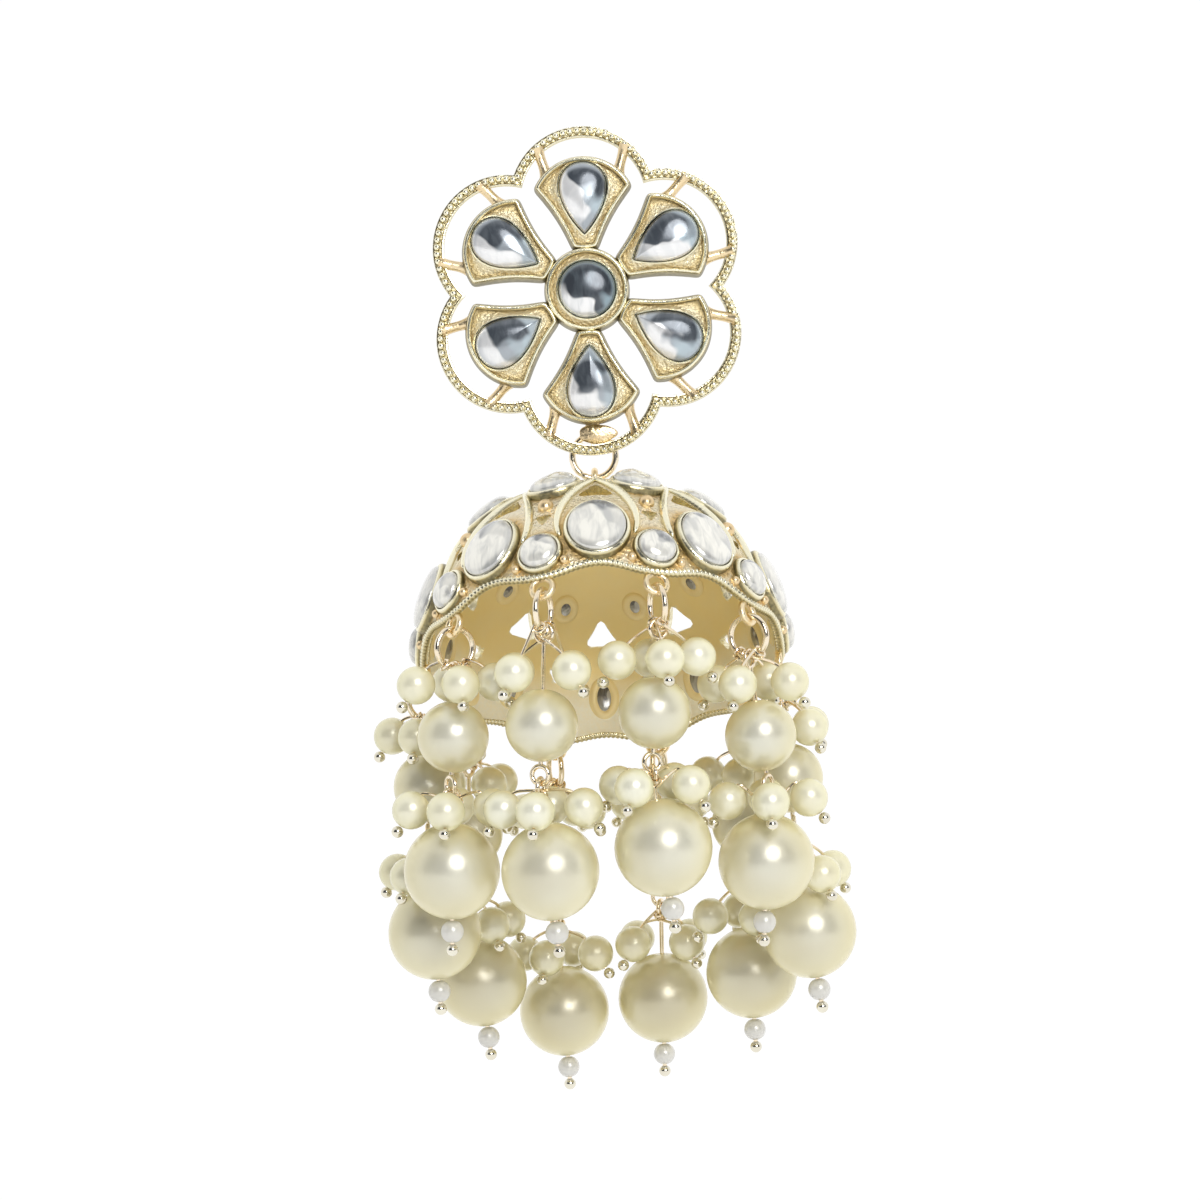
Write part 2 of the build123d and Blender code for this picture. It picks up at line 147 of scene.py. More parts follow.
def add(tree, kind, inputs=None, **settings):
    """Adds a shader node. An input given a socket is linked to it; any other value is set on it."""
    made = tree.nodes.new("ShaderNode" + kind)
    for name, value in settings.items():
        setattr(made, name, value)
    for key, value in (inputs or {}).items():
        if isinstance(value, bpy.types.NodeSocket):
            tree.links.new(value, made.inputs[key])
        else:
            made.inputs[key].default_value = value
    return made


def mixed(tree, share, below, above):
    """Colour socket between two colours, by a share from 0 for the first to 1 for the second."""
    return add(tree, "Mix", {0: share, 6: below, 7: above}, data_type="RGBA").outputs[2]


def effect_group(name, inputs, outputs):
    """New shader node group with (name, kind) sockets, and the nodes of its inputs and outputs."""
    group = bpy.data.node_groups.new(name, "ShaderNodeTree")
    for way, sockets in (("INPUT", inputs), ("OUTPUT", outputs)):
        for socket, kind in sockets:
            group.interface.new_socket(socket, in_out=way, socket_type="NodeSocket" + kind)
    return group, group.nodes.new("NodeGroupInput"), group.nodes.new("NodeGroupOutput")


def effect_material(name, shared, values, shader_values):
    """New material on a shared effect: values for the effect's inputs, colours with three numbers, and
    for the shader's. The effect's outputs go to the shader's inputs. Gives the effect and shader too."""
    material = bpy.data.materials.new(name)
    material.use_nodes = True
    tree = material.node_tree
    effect = tree.nodes.new("ShaderNodeGroup")
    effect.node_tree = shared
    for socket, value in values.items():
        effect.inputs[socket].default_value = (*value, 1) if isinstance(value, tuple) else value
    shader = tree.nodes["Principled BSDF"]
    for socket, value in shader_values.items():
        shader.inputs[socket].default_value = value
    for socket in effect.outputs:
        tree.links.new(socket, shader.inputs["Base Color" if socket.name == "Color" else socket.name])
    return material, effect, shader


def gold_with_painted_shade():
    """Shared plating effect: cloudy colour, then painted shade in the corners, towards a shade colour
    and then near-black, and cast grain.
    """
    group, given, out = effect_group(
        "gold_with_painted_shade",
        [("Gold", "Color"), ("Tarnish", "Color"), ("Cloud", "Float"), ("Grain", "Float"), ("Gloss", "Float")],
        [("Color", "Color"), ("Roughness", "Float"), ("Normal", "Vector")])
    place = add(group, "TexCoord").outputs["Object"]
    corner = add(group, "Attribute", attribute_name="painted_shading").outputs["Fac"]
    cloud = add(group, "TexNoise", {"Vector": place, "Scale": 420.0, "Detail": 3.0}).outputs["Fac"]
    speck = add(group, "TexNoise", {"Vector": place, "Scale": 2600.0, "Detail": 2.0}).outputs["Fac"]
    blend_share = add(group, "Math", {0: cloud, 1: given.outputs["Cloud"]}, operation="MULTIPLY").outputs[0]
    pale = mixed(group, blend_share, given.outputs["Gold"], (0.97, 0.95, 0.82, 1))
    # Painted shade: the attribute's share, speckled at random, takes the plating to its shade colour, then to
    # near-black in the deepest corners.
    shade_speckle = add(group, "Math", {0: speck, 1: 0.5, 2: 0.75}, operation="MULTIPLY_ADD").outputs[0]
    depth = add(group, "Math", {0: corner, 1: shade_speckle}, operation="MULTIPLY", use_clamp=True).outputs[0]
    shallow = add(group, "MapRange", {"Value": depth, "From Max": 0.65}).outputs[0]
    deep = add(group, "MapRange", {"Value": depth, "From Min": 0.6, "To Max": 0.85}).outputs[0]
    shaded = mixed(group, shallow, pale, given.outputs["Tarnish"])
    colour = mixed(group, deep, shaded, (0.13, 0.12, 0.075, 1))
    uneven = {"Value": cloud, "From Min": 0.3, "From Max": 0.7, "To Min": 0.82, "To Max": 1.25}
    uneven = add(group, "MapRange", uneven).outputs[0]
    rough = add(group, "Math", {0: uneven, 1: given.outputs["Gloss"]}, operation="MULTIPLY").outputs[0]
    rough = add(group, "Math", {0: corner, 1: 0.18, 2: rough}, operation="MULTIPLY_ADD", use_clamp=True)
    grain = add(group, "Math", {0: speck, 1: given.outputs["Grain"]}, operation="MULTIPLY")
    bump = add(group, "Bump", {"Strength": 0.55, "Distance": 0.00012, "Height": grain.outputs[0]})
    group.links.new(colour, out.inputs["Color"])
    group.links.new(rough.outputs[0], out.inputs["Roughness"])
    group.links.new(bump.outputs[0], out.inputs["Normal"])
    return group


gold_effect = gold_with_painted_shade()


def gold(name, colour, shading, grain, gloss, metallic=1.0, cloud=0.9):
    """Plated metal with its own colour, painted shade colour, grain depth and gloss on the shared
    plating effect.
    """
    values = {"Gold": colour, "Tarnish": shading, "Cloud": cloud, "Grain": grain, "Gloss": gloss}
    return effect_material(name, gold_effect, values, {"Metallic": metallic})[0]


# The second colour of each plating is its painted shade colour.
cast_gold = gold("cast_gold", (0.99, 0.93, 0.67), (0.62, 0.52, 0.27), 0.7, 0.2, cloud=0.6)
bed_gold = gold("bed_gold", (0.99, 0.94, 0.70), (0.80, 0.64, 0.33), 4.5, 0.3, metallic=0.6, cloud=0.8)
solder_gold = gold("solder_gold", (0.98, 0.78, 0.46), (0.72, 0.46, 0.19), 1.0, 0.28, cloud=0.4)

bead_steps = (np.arange(BEADS_PER_LOBE) + 0.5) / BEADS_PER_LOBE * 2 - 1
bead_across, bead_along = six_lobes(BEAD_PLACE[0], bead_steps)
beads = balls(round_flower(bead_across, bead_along, BEAD_PLACE[1]), BEAD_RADIUS, rows=8, columns=12)
rim_surfaces = [
    {"points": along_lobes(BAND_EDGE), "painted_shading": np.array(BAND_SHADE)},
    # Painted shade on each bead's back half, where it sits in the channel.
    {"points": beads, "painted_shading": np.clip(0.2 + 0.9 * (beads[..., 1] + BEAD_PLACE[1]) / BEAD_RADIUS, 0, 1)},
]


# ---------------------------------------------------------------------------------------------------
# Petal cups and centre cup: six fan-shaped trays and a round one, cast with the rim. Each has a thin
# polished wall, a grained bed that rises to the middle, and a raised collar pushed over its stone.
# Painted shade darkens the outside of each wall, the bed where it meets the wall, and the collar where
# it meets the stone.
# ---------------------------------------------------------------------------------------------------
CUP_SIDES = 180
CUP_MIDDLE = 10.0
FAN_FOOT = (1.4, 4.4)
FAN_SHOULDER = (5.45, 11.2)
FAN_ARC_MIDDLE = 8.707
FAN_ARC_RADIUS = 5.993
FLANK_BOW = 0.32
PEAR_WIDTH = 5.1
PEAR_LENGTH = 7.8
CENTRE_CUP_RADIUS = 4.7
CENTRE_STONE_RADIUS = 3.1
SEAT_HEIGHT = 0.95
PETAL_HEIGHT, PETAL_BED, PETAL_BACK = 2.4, 1.55, 0.04
CENTRE_HEIGHT, CENTRE_BED = 2.6, 1.7
CUP_SHADE = [0.3, 0.3, 0.9, 1, 0.8, 0.1, 0, 0, 0.05, 0.5, 0.9, 0.6, 0.35, 0.3, 0.1, 0, 0.3, 0.9, 1, 1]


def fan_outline():
    """Half and half of the petal cup: a flank bowed in by a sine, then an arc about (0, 8.7)."""
    s = np.linspace(0, 1, 40)
    flank_x = FAN_FOOT[0] + s * (FAN_SHOULDER[0] - FAN_FOOT[0]) - FLANK_BOW * np.sin(np.pi * s)
    flank_y = FAN_FOOT[1] + s * (FAN_SHOULDER[1] - FAN_FOOT[1]) + 0.4 * FLANK_BOW * np.sin(np.pi * s)
    turn = np.linspace(np.arcsin(FAN_SHOULDER[0] / FAN_ARC_RADIUS), 0, 40)
    right = np.stack([np.append(flank_x, FAN_ARC_RADIUS * np.sin(turn)),
                      np.append(flank_y, FAN_ARC_MIDDLE + FAN_ARC_RADIUS * np.cos(turn))], axis=-1)
    return np.concatenate([right, right[::-1] * (-1, 1)])


def pear_outline(width, length, side):
    """Teardrop about the origin: x = sin t sin(t/2)^0.9 scaled to the width, y = side l/2 cos t, with
    its point at t = 0."""
    t = np.linspace(0, 2 * np.pi, 241)[:-1]
    bulge = np.abs(np.sin(t / 2)) ** 0.9
    x = np.sin(t) * bulge
    return np.stack([x / np.abs(x).max() * width / 2, side * length / 2 * np.cos(t)], axis=-1)


def by_angle(outline, middle, soften=0):
    """The outline again as evenly turned points round a middle, its corners rounded by averaging."""
    out = outline - middle
    angle = np.arctan2(out[:, 1], out[:, 0])
    order = np.argsort(angle)
    turn = np.linspace(-np.pi, np.pi, CUP_SIDES, endpoint=False)
    reach = np.interp(turn, angle[order], np.hypot(*out.T)[order], period=2 * np.pi)
    for _ in range(soften):
        reach = (np.roll(reach, 1) + 2 * reach + np.roll(reach, -1)) / 4
    points = middle + reach[:, None] * np.stack([np.cos(turn), np.sin(turn)], axis=-1)
    return np.concatenate([points, points[:1]])


def outward_of(ring):
    """Outward normals of a closed ring that runs anticlockwise, from the chord between neighbours."""
    body = ring[:-1]
    chord = np.roll(body, -1, axis=0) - np.roll(body, 1, axis=0)
    normal = np.stack([chord[:, 1], -chord[:, 0]], axis=-1)
    normal /= np.linalg.norm(normal, axis=1, keepdims=True)
    return np.concatenate([normal, normal[:1]])


def cup_rows(wall, stone, middle, height, bed, back=0.0):
    """Rows (across, along, height) of one cup, from the middle of its back, up the wall and over its
    round top, across the bed to the collar round the stone, and down to the middle of the seat."""
    wall_out, stone_out = outward_of(wall), outward_of(stone)
    spot = np.broadcast_to(middle, wall.shape)
    rows = [(spot, back), (wall - 0.1 * wall_out, back), (wall, back + 0.1), (wall - 0.02 * wall_out, 0.9)]
    for inset, drop in ((0.2, 0.3), (0.27, 0.1), (0.36, 0.02), (0.46, 0.0), (0.56, 0.08), (0.64, 0.3)):
        rows.append((wall - inset * wall_out, height - drop))
    inner, collar = wall - 0.68 * wall_out, stone + 0.36 * stone_out
    for share in (0.0, 0.33, 0.66, 1.0):
        rows.append(((1 - share) * inner + share * collar, bed + 0.3 * share ** 2))
    for margin, lift in ((0.25, 0.38), (0.15, 0.42), (0.06, 0.32), (0.02, 0.1)):
        rows.append((stone + margin * stone_out, bed + lift))
    rows += [(stone, SEAT_HEIGHT - 0.02), (spot, SEAT_HEIGHT - 0.02)]
    grid = np.stack([np.column_stack([ring, np.full(len(ring), level)]) for ring, level in rows])
    return grid, np.broadcast_to(np.array(CUP_SHADE)[:, None], grid.shape[:2])


petal_middle = np.array([0.0, CUP_MIDDLE])
fan = by_angle(fan_outline(), petal_middle, soften=3)
petal_pear = by_angle(pear_outline(PEAR_WIDTH, PEAR_LENGTH, -1) + petal_middle, petal_middle)
petal_cup, petal_shade = cup_rows(fan, petal_pear, petal_middle, PETAL_HEIGHT, PETAL_BED, PETAL_BACK)
circle = by_angle(pear_outline(1, 1, 1), np.zeros(2))
circle = circle / np.linalg.norm(circle, axis=1, keepdims=True)
centre_cup, centre_shade = cup_rows(CENTRE_CUP_RADIUS * circle, CENTRE_STONE_RADIUS * circle,
                                    np.zeros(2), CENTRE_HEIGHT, CENTRE_BED)
centre_grid = np.stack([centre_cup[..., 0], -centre_cup[..., 2], centre_cup[..., 1]], axis=-1)
petal_grid = round_flower(petal_cup[..., 0], petal_cup[..., 1], petal_cup[..., 2])
BED = slice(9, 15)
cup_surfaces = [
    {"points": petal_grid[:, :10], "painted_shading": petal_shade[:10]},
    {"points": petal_grid[:, BED], "painted_shading": petal_shade[BED], "material": 1},
    {"points": petal_grid[:, 14:], "painted_shading": petal_shade[14:]},
    {"points": centre_grid[:10], "painted_shading": centre_shade[:10]},
    {"points": centre_grid[BED], "painted_shading": centre_shade[BED], "material": 1},
    {"points": centre_grid[14:], "painted_shading": centre_shade[14:]},
]


# ---------------------------------------------------------------------------------------------------
# Flower joins: twelve short bars between the cups and the rim, the lump of solder under the bottom
# cup, the wire eye soldered behind it for the ring, and the solder foot round the ear post.
# ---------------------------------------------------------------------------------------------------
BRIDGE_TURN = 17
BRIDGE_ENDS = (13.3, 16.5)
BRIDGE_RADIUS = 0.55
SOLDER_MIDDLE = (0.5, -15.7)
SOLDER_HALF = (2.1, 1.05)
SOLDER_RISE = 0.34
FLOWER_EYE = (0.0, 1.2, -15.3)
FLOWER_EYE_RADIUS = 1.2
FLOWER_EYE_WIRE = 0.35


def tube(path, radius, lift, sides=10):
    """Round wire with closed ends: path + radius (cos a across + sin a up), where across is the
    path's direction crossed with lift, and up is across crossed with the direction."""
    path = np.asarray(path, float)
    along = np.gradient(path, axis=-2)
    along /= np.linalg.norm(along, axis=-1, keepdims=True)
    across = np.cross(along, np.broadcast_to(lift, along.shape))
    across /= np.linalg.norm(across, axis=-1, keepdims=True)
    up = np.cross(across, along)
    a = np.linspace(0, 2 * np.pi, sides + 1)[:, None]
    radius = np.broadcast_to(radius, path.shape[:-1])[..., None, None]
    skin = path[..., None, :] + radius * (np.cos(a) * across[..., None, :] + np.sin(a) * up[..., None, :])
    ends = [np.broadcast_to(path[..., [end], None, :], skin[..., :1, :, :].shape) for end in (0, -1)]
    return np.concatenate([ends[0], skin, ends[1]], axis=-3)


def wire_ring(centre, normal, radius, wire, steps=36, sides=10, seam=0.0):
    """Ring of round wire: centre + (R + w cos b)(cos a, sin a) + w sin b along the normal. The wire
    thins by the seam share where its two ends meet."""
    centre, normal = np.atleast_2d(centre).astype(float), np.atleast_2d(normal).astype(float)
    normal = normal / np.linalg.norm(normal, axis=1, keepdims=True)
    helper = np.where(np.abs(normal[:, 2:]) < 0.9, (0.0, 0.0, 1.0), (1.0, 0.0, 0.0))
    across = np.cross(normal, helper)
    across /= np.linalg.norm(across, axis=1, keepdims=True)
    up = np.cross(normal, across)
    a = np.linspace(0, 2 * np.pi, steps + 1)[:, None]
    b = np.linspace(0, 2 * np.pi, sides + 1)[None, :]
    turn = a[None, ..., None]
    out = np.cos(turn) * across[:, None, None, :] + np.sin(turn) * up[:, None, None, :]
    thin = wire * (1 - seam * np.exp(-((a - np.pi * 0.7) / 0.06) ** 2))
    reach = (radius + thin * np.cos(b))[None, ..., None]
    side = (thin * np.sin(b))[None, ..., None]
    return centre[:, None, None, :] + reach * out + side * normal[:, None, None, :]


def lump(middle, half, rise, seed):
    """Low lump of solder on the XZ plane: half a squashed ball whose edge and top wander by sines."""
    t = np.linspace(0, np.pi / 2, 12)[:, None]
    a = np.linspace(0, 2 * np.pi, 49)[None, :]
    wander = 1 + 0.05 * np.sin(3 * a + seed) + 0.03 * np.sin(5 * a + 2 * seed)
    x = middle[0] + half[0] * np.sin(t) * np.cos(a) * wander
    z = middle[1] + half[1] * np.sin(t) * np.sin(a) * wander
    top = rise * np.cos(t) ** 0.7 * (1 + 0.15 * np.sin(2.2 * x + seed) * np.sin(1.9 * z))
    upper = np.stack([x, -top + 0 * a, z], axis=-1)
    under = np.stack([middle[0] + 0 * a, 0 * a, middle[1] + 0 * a], axis=-1)
    return np.concatenate([upper, under])


bridge_span = np.linspace(*BRIDGE_ENDS, 9)
bridge_turn = np.radians(BRIDGE_TURN) * np.array([[-1.0], [1.0]])
bridge_path = round_flower(bridge_span * np.sin(bridge_turn), bridge_span * np.cos(bridge_turn), 0.38)
bridge_flare = BRIDGE_RADIUS * (1 + 0.5 * np.abs(np.linspace(-1, 1, 9)) ** 3)
foot_t = np.linspace(0, 1, 8)
foot_ring = np.stack([np.append(0, np.append(1.25 - 0.75 * np.sin(foot_t * np.pi / 2), 0)),
                      np.append(0, np.append(0.7 * foot_t ** 1.6, 0.7)) - 0.06], axis=-1)
foot_turn = np.linspace(0, 2 * np.pi, 33)[None, :]
post_foot = np.stack([foot_ring[:, :1] * np.cos(foot_turn), foot_ring[:, 1:] + 0 * foot_turn,
                      foot_ring[:, :1] * np.sin(foot_turn)], axis=-1)
eye_foot = tube([(0, -0.1, -15.3), (0, 0.1, -15.3), (0, 0.35, -15.3)], [1.0, 0.7, 0.45], (0, 0, 1), 16)
join_surfaces = [
    {"points": tube(bridge_path, bridge_flare, (0, 1, 0)), "material": 2, "painted_shading": 0.12},
    {"points": lump(SOLDER_MIDDLE, SOLDER_HALF, SOLDER_RISE, 1.0), "material": 2, "painted_shading": 0.16},
    {"points": wire_ring(FLOWER_EYE, (1, 0, 0), FLOWER_EYE_RADIUS, FLOWER_EYE_WIRE), "material": 2},
    {"points": eye_foot, "material": 2, "painted_shading": 0.2},
    {"points": post_foot, "material": 2, "painted_shading": 0.2},
]
lay("flower_setting", rim_surfaces + cup_surfaces + join_surfaces, [cast_gold, bed_gold, solder_gold],
    "flower", ["flower_frame"])


# ---------------------------------------------------------------------------------------------------
# Flower stones: smooth glass domes over silver foil, six pears and a round. The foil and the
# dome's reflections are painted on the dome's own skin, under a clear coat: painted reflections of
# a slate patch above, a white one at the lower left and a paler edge on the right, and streaks.
# ---------------------------------------------------------------------------------------------------
STONE_GIRDLE = 1.95
STONE_TOP = 3.04
PEAR_STONE_ALONG = 10.5
PEAR_STONE_HALF = 3.1
# Each flower stone's painted reflections are turned by its own angle.
REFLECTION_TURNS = np.radians([-30, 15, 0, 10, -20, 25])


def cabochon(outline, middle, base, girdle, top, rows=16):
    """Closed glass dome on an outline: its foot, its edge, then the outline shrunk by s towards the
    middle at height girdle + (top - girdle) sqrt(1 - s^2.2)."""
    s = np.cos(np.linspace(0, np.pi / 2, rows))
    levels = [(0.0, base), (0.98, base), (1.0, base + 0.1)]
    levels += [(share, girdle + (top - girdle) * np.sqrt(max(0.0, 1 - share ** 2.2))) for share in s]
    return np.stack([np.column_stack([middle + share * (outline - middle), np.full(len(outline), level)])
                     for share, level in levels])


def foil_and_painted_reflection():
    """Shared stone effect of foil and painted reflections, in each stone's own across and up places, from
    -1 to 1: painted reflections of a slate patch at the top, a white one at the lower left and a paler
    right edge, a painted edge greyed towards Mid, and streaks. The seed shifts the edges."""
    group, given, out = effect_group(
        "foil_and_painted_reflection",
        [("Pale", "Color"), ("Mid", "Color"), ("Dark", "Color"), ("Side", "Color"), ("Slate", "Float"),
         ("White", "Float"), ("Streaks", "Float")],
        [("Color", "Color")])
    place = add(group, "Attribute", attribute_name="place").outputs["Vector"]
    across, up, seed = add(group, "SeparateXYZ", {0: place}).outputs
    shifted = add(group, "VectorMath", {0: place, 1: (1.0, 1.0, 7.3)}, operation="MULTIPLY").outputs[0]
    wander = add(group, "TexNoise", {"Vector": shifted, "Scale": 1.1, "Detail": 1.0})
    wander = add(group, "SeparateXYZ", {0: wander.outputs["Color"]}).outputs

    def patch(slope, wobble, level, soft):
        """Soft-edged mask of one side of the stone: where place . slope + wandering + level is above 0."""
        side = add(group, "VectorMath", {0: place, 1: (*slope, 0.0)}, operation="DOT_PRODUCT")
        side = side.outputs["Value"]
        bent = add(group, "Math", {0: wobble, 1: 2.0, 2: side}, operation="MULTIPLY_ADD").outputs[0]
        raised = add(group, "Math", {0: bent, 1: level}, operation="ADD").outputs[0]
        return add(group, "MapRange", {"Value": raised, "From Min": 1.0 - soft, "From Max": 1.0 + soft},
                   interpolation_type="SMOOTHSTEP").outputs[0]

    reach = add(group, "VectorMath", {0: add(group, "CombineXYZ", {0: across, 1: up}).outputs[0]},
                operation="LENGTH").outputs["Value"]
    inside = add(group, "MapRange", {"Value": reach, "From Min": 1.0, "From Max": 0.8},
                 interpolation_type="SMOOTHSTEP").outputs[0]
    slate = patch((-0.25, 0.9), wander[0], given.outputs["Slate"], 0.2)
    slate = add(group, "Math", {0: slate, 1: inside}, operation="MULTIPLY").outputs[0]
    white = patch((-0.55, -0.75), wander[1], given.outputs["White"], 0.11)
    right = patch((0.9, 0.25), wander[2], -0.35, 0.25)
    stretched = add(group, "VectorMath", {0: shifted, 1: (2.2, 0.8, 1.0)}, operation="MULTIPLY").outputs[0]
    streak = add(group, "TexNoise", {"Vector": stretched, "Scale": 1.7, "Detail": 2.0, "Distortion": 0.8})
    streak = add(group, "MapRange", {"Value": streak.outputs["Fac"], "From Min": 0.42, "From Max": 0.7})
    streak = add(group, "Math", {0: streak.outputs[0], 1: given.outputs["Streaks"]}, operation="MULTIPLY")
    # Painted reflections: slate, white and paler side patches over the Mid colour.
    reflected_colour = mixed(group, right, given.outputs["Mid"], given.outputs["Side"])
    reflected_colour = mixed(group, slate, reflected_colour, given.outputs["Dark"])
    reflected_colour = mixed(group, white, reflected_colour, given.outputs["Pale"])
    # Painted edge: the stone greyed towards Mid near its outline, and streaks.
    painted_edge = add(group, "Math", {0: 1.0, 1: inside}, operation="SUBTRACT").outputs[0]
    blend_share = {0: painted_edge, 1: 0.5, 2: streak.outputs[0]}
    blend_share = add(group, "Math", blend_share, operation="MULTIPLY_ADD", use_clamp=True).outputs[0]
    reflected_colour = mixed(group, blend_share, reflected_colour, given.outputs["Mid"])
    group.links.new(reflected_colour, out.inputs["Color"])
    return group


foil_and_reflection_effect = foil_and_painted_reflection()


def foiled_glass(name, pale, mid, dark, side, slate, white, streaks):
    """Glass over foil: the shared stone effect with its painted reflections, on a part-metallic surface
    under a clear, soft coat.
    """
    values = {"Pale": pale, "Mid": mid, "Dark": dark, "Side": side, "Slate": slate, "White": white,
              "Streaks": streaks}
    coated = {"Metallic": 0.35, "Roughness": 0.2, "Coat Weight": 1.0, "Coat Roughness": 0.14,
              "Coat IOR": 1.35}
    return effect_material(name, foil_and_reflection_effect, values, coated)[0]


# Painted reflections on the flower's stones, darkest on the centre one.
flower_foil_and_reflection = foiled_glass("flower_foil_and_reflection", (1.0, 1.0, 1.0), (0.42, 0.46, 0.50),
                           (0.085, 0.10, 0.12), (0.52, 0.62, 0.68), 0.16, -0.2, 0.2)
centre_foil_and_reflection = foiled_glass("centre_foil_and_reflection", (1.0, 1.0, 1.0), (0.25, 0.31, 0.35),
                           (0.065, 0.075, 0.09), (0.30, 0.41, 0.47), 0.7, -0.5, 0.3)


def stone_places(points, middles, halves, seeds, turn=0.0):
    """Each point's across and up place on its stone, in halves of its size and turned by an angle, and
    the stone's seed."""
    shape = (-1,) + (1,) * (points.ndim - 2)
    x = (points[..., 0] - middles[:, 0].reshape(shape)) / halves
    z = (points[..., 2] - middles[:, 2].reshape(shape)) / halves
    x, z = x * np.cos(turn) + z * np.sin(turn), z * np.cos(turn) - x * np.sin(turn)
    return np.stack([x, z, np.broadcast_to(np.asarray(seeds, float).reshape(shape), x.shape)], axis=-1)


pear_dome = cabochon(petal_pear, petal_middle, SEAT_HEIGHT, STONE_GIRDLE, STONE_TOP)
pear_grid = round_flower(pear_dome[..., 0], pear_dome[..., 1], pear_dome[..., 2])
pear_middles = round_flower(0.0, PEAR_STONE_ALONG, 0.0)
for number in range(6):
    grid = pear_grid[number:number + 1]
    marks = stone_places(grid, pear_middles[number:number + 1], PEAR_STONE_HALF, [number * 0.61 + 0.2],
                         REFLECTION_TURNS[number])
    lay(f"petal_glass_{number + 1}", [{"points": grid, "place": marks}], [flower_foil_and_reflection], "flower",
        [f"petal_stone_{number + 1}"], crease=60)
round_dome = cabochon(CENTRE_STONE_RADIUS * circle, np.zeros(2), SEAT_HEIGHT, STONE_GIRDLE, STONE_TOP)
round_grid = np.stack([round_dome[..., 0], -round_dome[..., 2], round_dome[..., 1]], axis=-1)[None]
round_marks = stone_places(round_grid, np.zeros((1, 3)), CENTRE_STONE_RADIUS, [4.4])
lay("centre_glass", [{"points": round_grid, "place": round_marks}], [centre_foil_and_reflection], "flower",
    ["centre_stone"], crease=60)


# ---------------------------------------------------------------------------------------------------
# Ear post and connector ring: a plain post behind the flower, and the split ring that the bell hangs
# from, both of a rosier wire than the castings. The post keeps its own shape from the frame.
# ---------------------------------------------------------------------------------------------------
RING_CENTRE = (0.0, 1.2, -18.1)
RING_RADIUS = 2.375
RING_WIRE = 0.375

wire_gold = gold("wire_gold", (0.92, 0.72, 0.48), (0.42, 0.27, 0.14), 0.2, 0.13)
post_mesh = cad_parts["ear_post"].data
post_mesh.materials.clear()
post_mesh.materials.append(wire_gold)
lay("split_ring", [{"points": wire_ring(RING_CENTRE, (0, 1, 0), RING_RADIUS, RING_WIRE, 72, 14, seam=0.3)}],
    [wire_gold], "link", ["connector_ring"])


# ---------------------------------------------------------------------------------------------------
# Bell skin: one cast shell of plated brass on an axis tilted 30 degrees, scalloped at the mouth and
# drawn up to a point, with a triangular window over each oval stone and a smaller one over each
# round. Its outside is grained, with painted shade that darkens it towards the settings and on the
# window walls. Its inside is satin, with painted light that makes it paler low down.
# ---------------------------------------------------------------------------------------------------
TILT = np.radians(30)
BELL_AXIS = np.array([0.0, np.sin(TILT), np.cos(TILT)])
BELL_FRONT = np.array([0.0, -np.cos(TILT), np.sin(TILT)])
BELL_MIDDLE = np.array([0.0, 1.2, -21.61]) - 21.6 * BELL_AXIS
BELL_RADIUS = 19.3
SKIN = 0.9
NECK_RISE = 73.1
TOP_RISE = 84.0
SECTOR = 36.0
SECTOR_TURNS = SECTOR * np.arange(10)
SECTOR_START = -9.0
SECTOR_COLUMNS = 31
SECTOR_LEVELS = 60
WINDOW = {"turn": 0.0, "rise": 37.0, "size": 2.3, "up": 1}
SMALL_WINDOW = {"turn": 18.0, "rise": 23.0, "size": 1.15, "up": -1}
OVAL_RISE = 15.3
ROUND_RISE = 7.8
CROWN_PEAR_RISE = 46.5
SETTINGS = [(0, OVAL_RISE, 3.6, 4.2), (SECTOR, OVAL_RISE, 3.6, 4.2), (-18, ROUND_RISE, 2.6, 2.6),
            (18, ROUND_RISE, 2.6, 2.6), (-18, CROWN_PEAR_RISE, 3.1, 3.8), (18, CROWN_PEAR_RISE, 3.1, 3.8)]


def outward(turn):
    """Direction away from the bell's axis, turned in degrees from the front towards +X."""
    turn = np.radians(turn)[..., None]
    return np.sin(turn) * (1.0, 0.0, 0.0) + np.cos(turn) * BELL_FRONT


def on_bell(turn, rise, lift=0.0):
    """Point on the bell's skin, lifted off it. Up to the neck it is a sphere of radius 19.3 by turn and
    rise. Above, with s from 0 at the neck to 1 at the top: out 5.6 (1 - s), up 18.5 + 1.7 s + 1.4 s^2."""
    turn, rise, lift = np.broadcast_arrays(np.asarray(turn, float), rise, lift)
    angle = np.radians(np.minimum(rise, NECK_RISE))
    s = np.clip((rise - NECK_RISE) / (90 - NECK_RISE), 0, 1)
    out = BELL_RADIUS * np.cos(angle) * (1 - s)
    up = BELL_RADIUS * np.sin(angle) + 1.7 * s + 1.4 * s ** 2
    out, up = out + lift * np.cos(angle), up + lift * np.sin(angle)
    return BELL_MIDDLE + out[..., None] * outward(turn) + up[..., None] * BELL_AXIS


def rim_rise(turn):
    """Rise of the scalloped mouth: 1 mm up over each oval stone, falling by a cosine to each round."""
    wave = 0.5 + 0.5 * np.cos(np.radians(turn * 360 / SECTOR))
    return np.degrees(np.arcsin(1.0 * wave ** 1.2 / BELL_RADIUS))


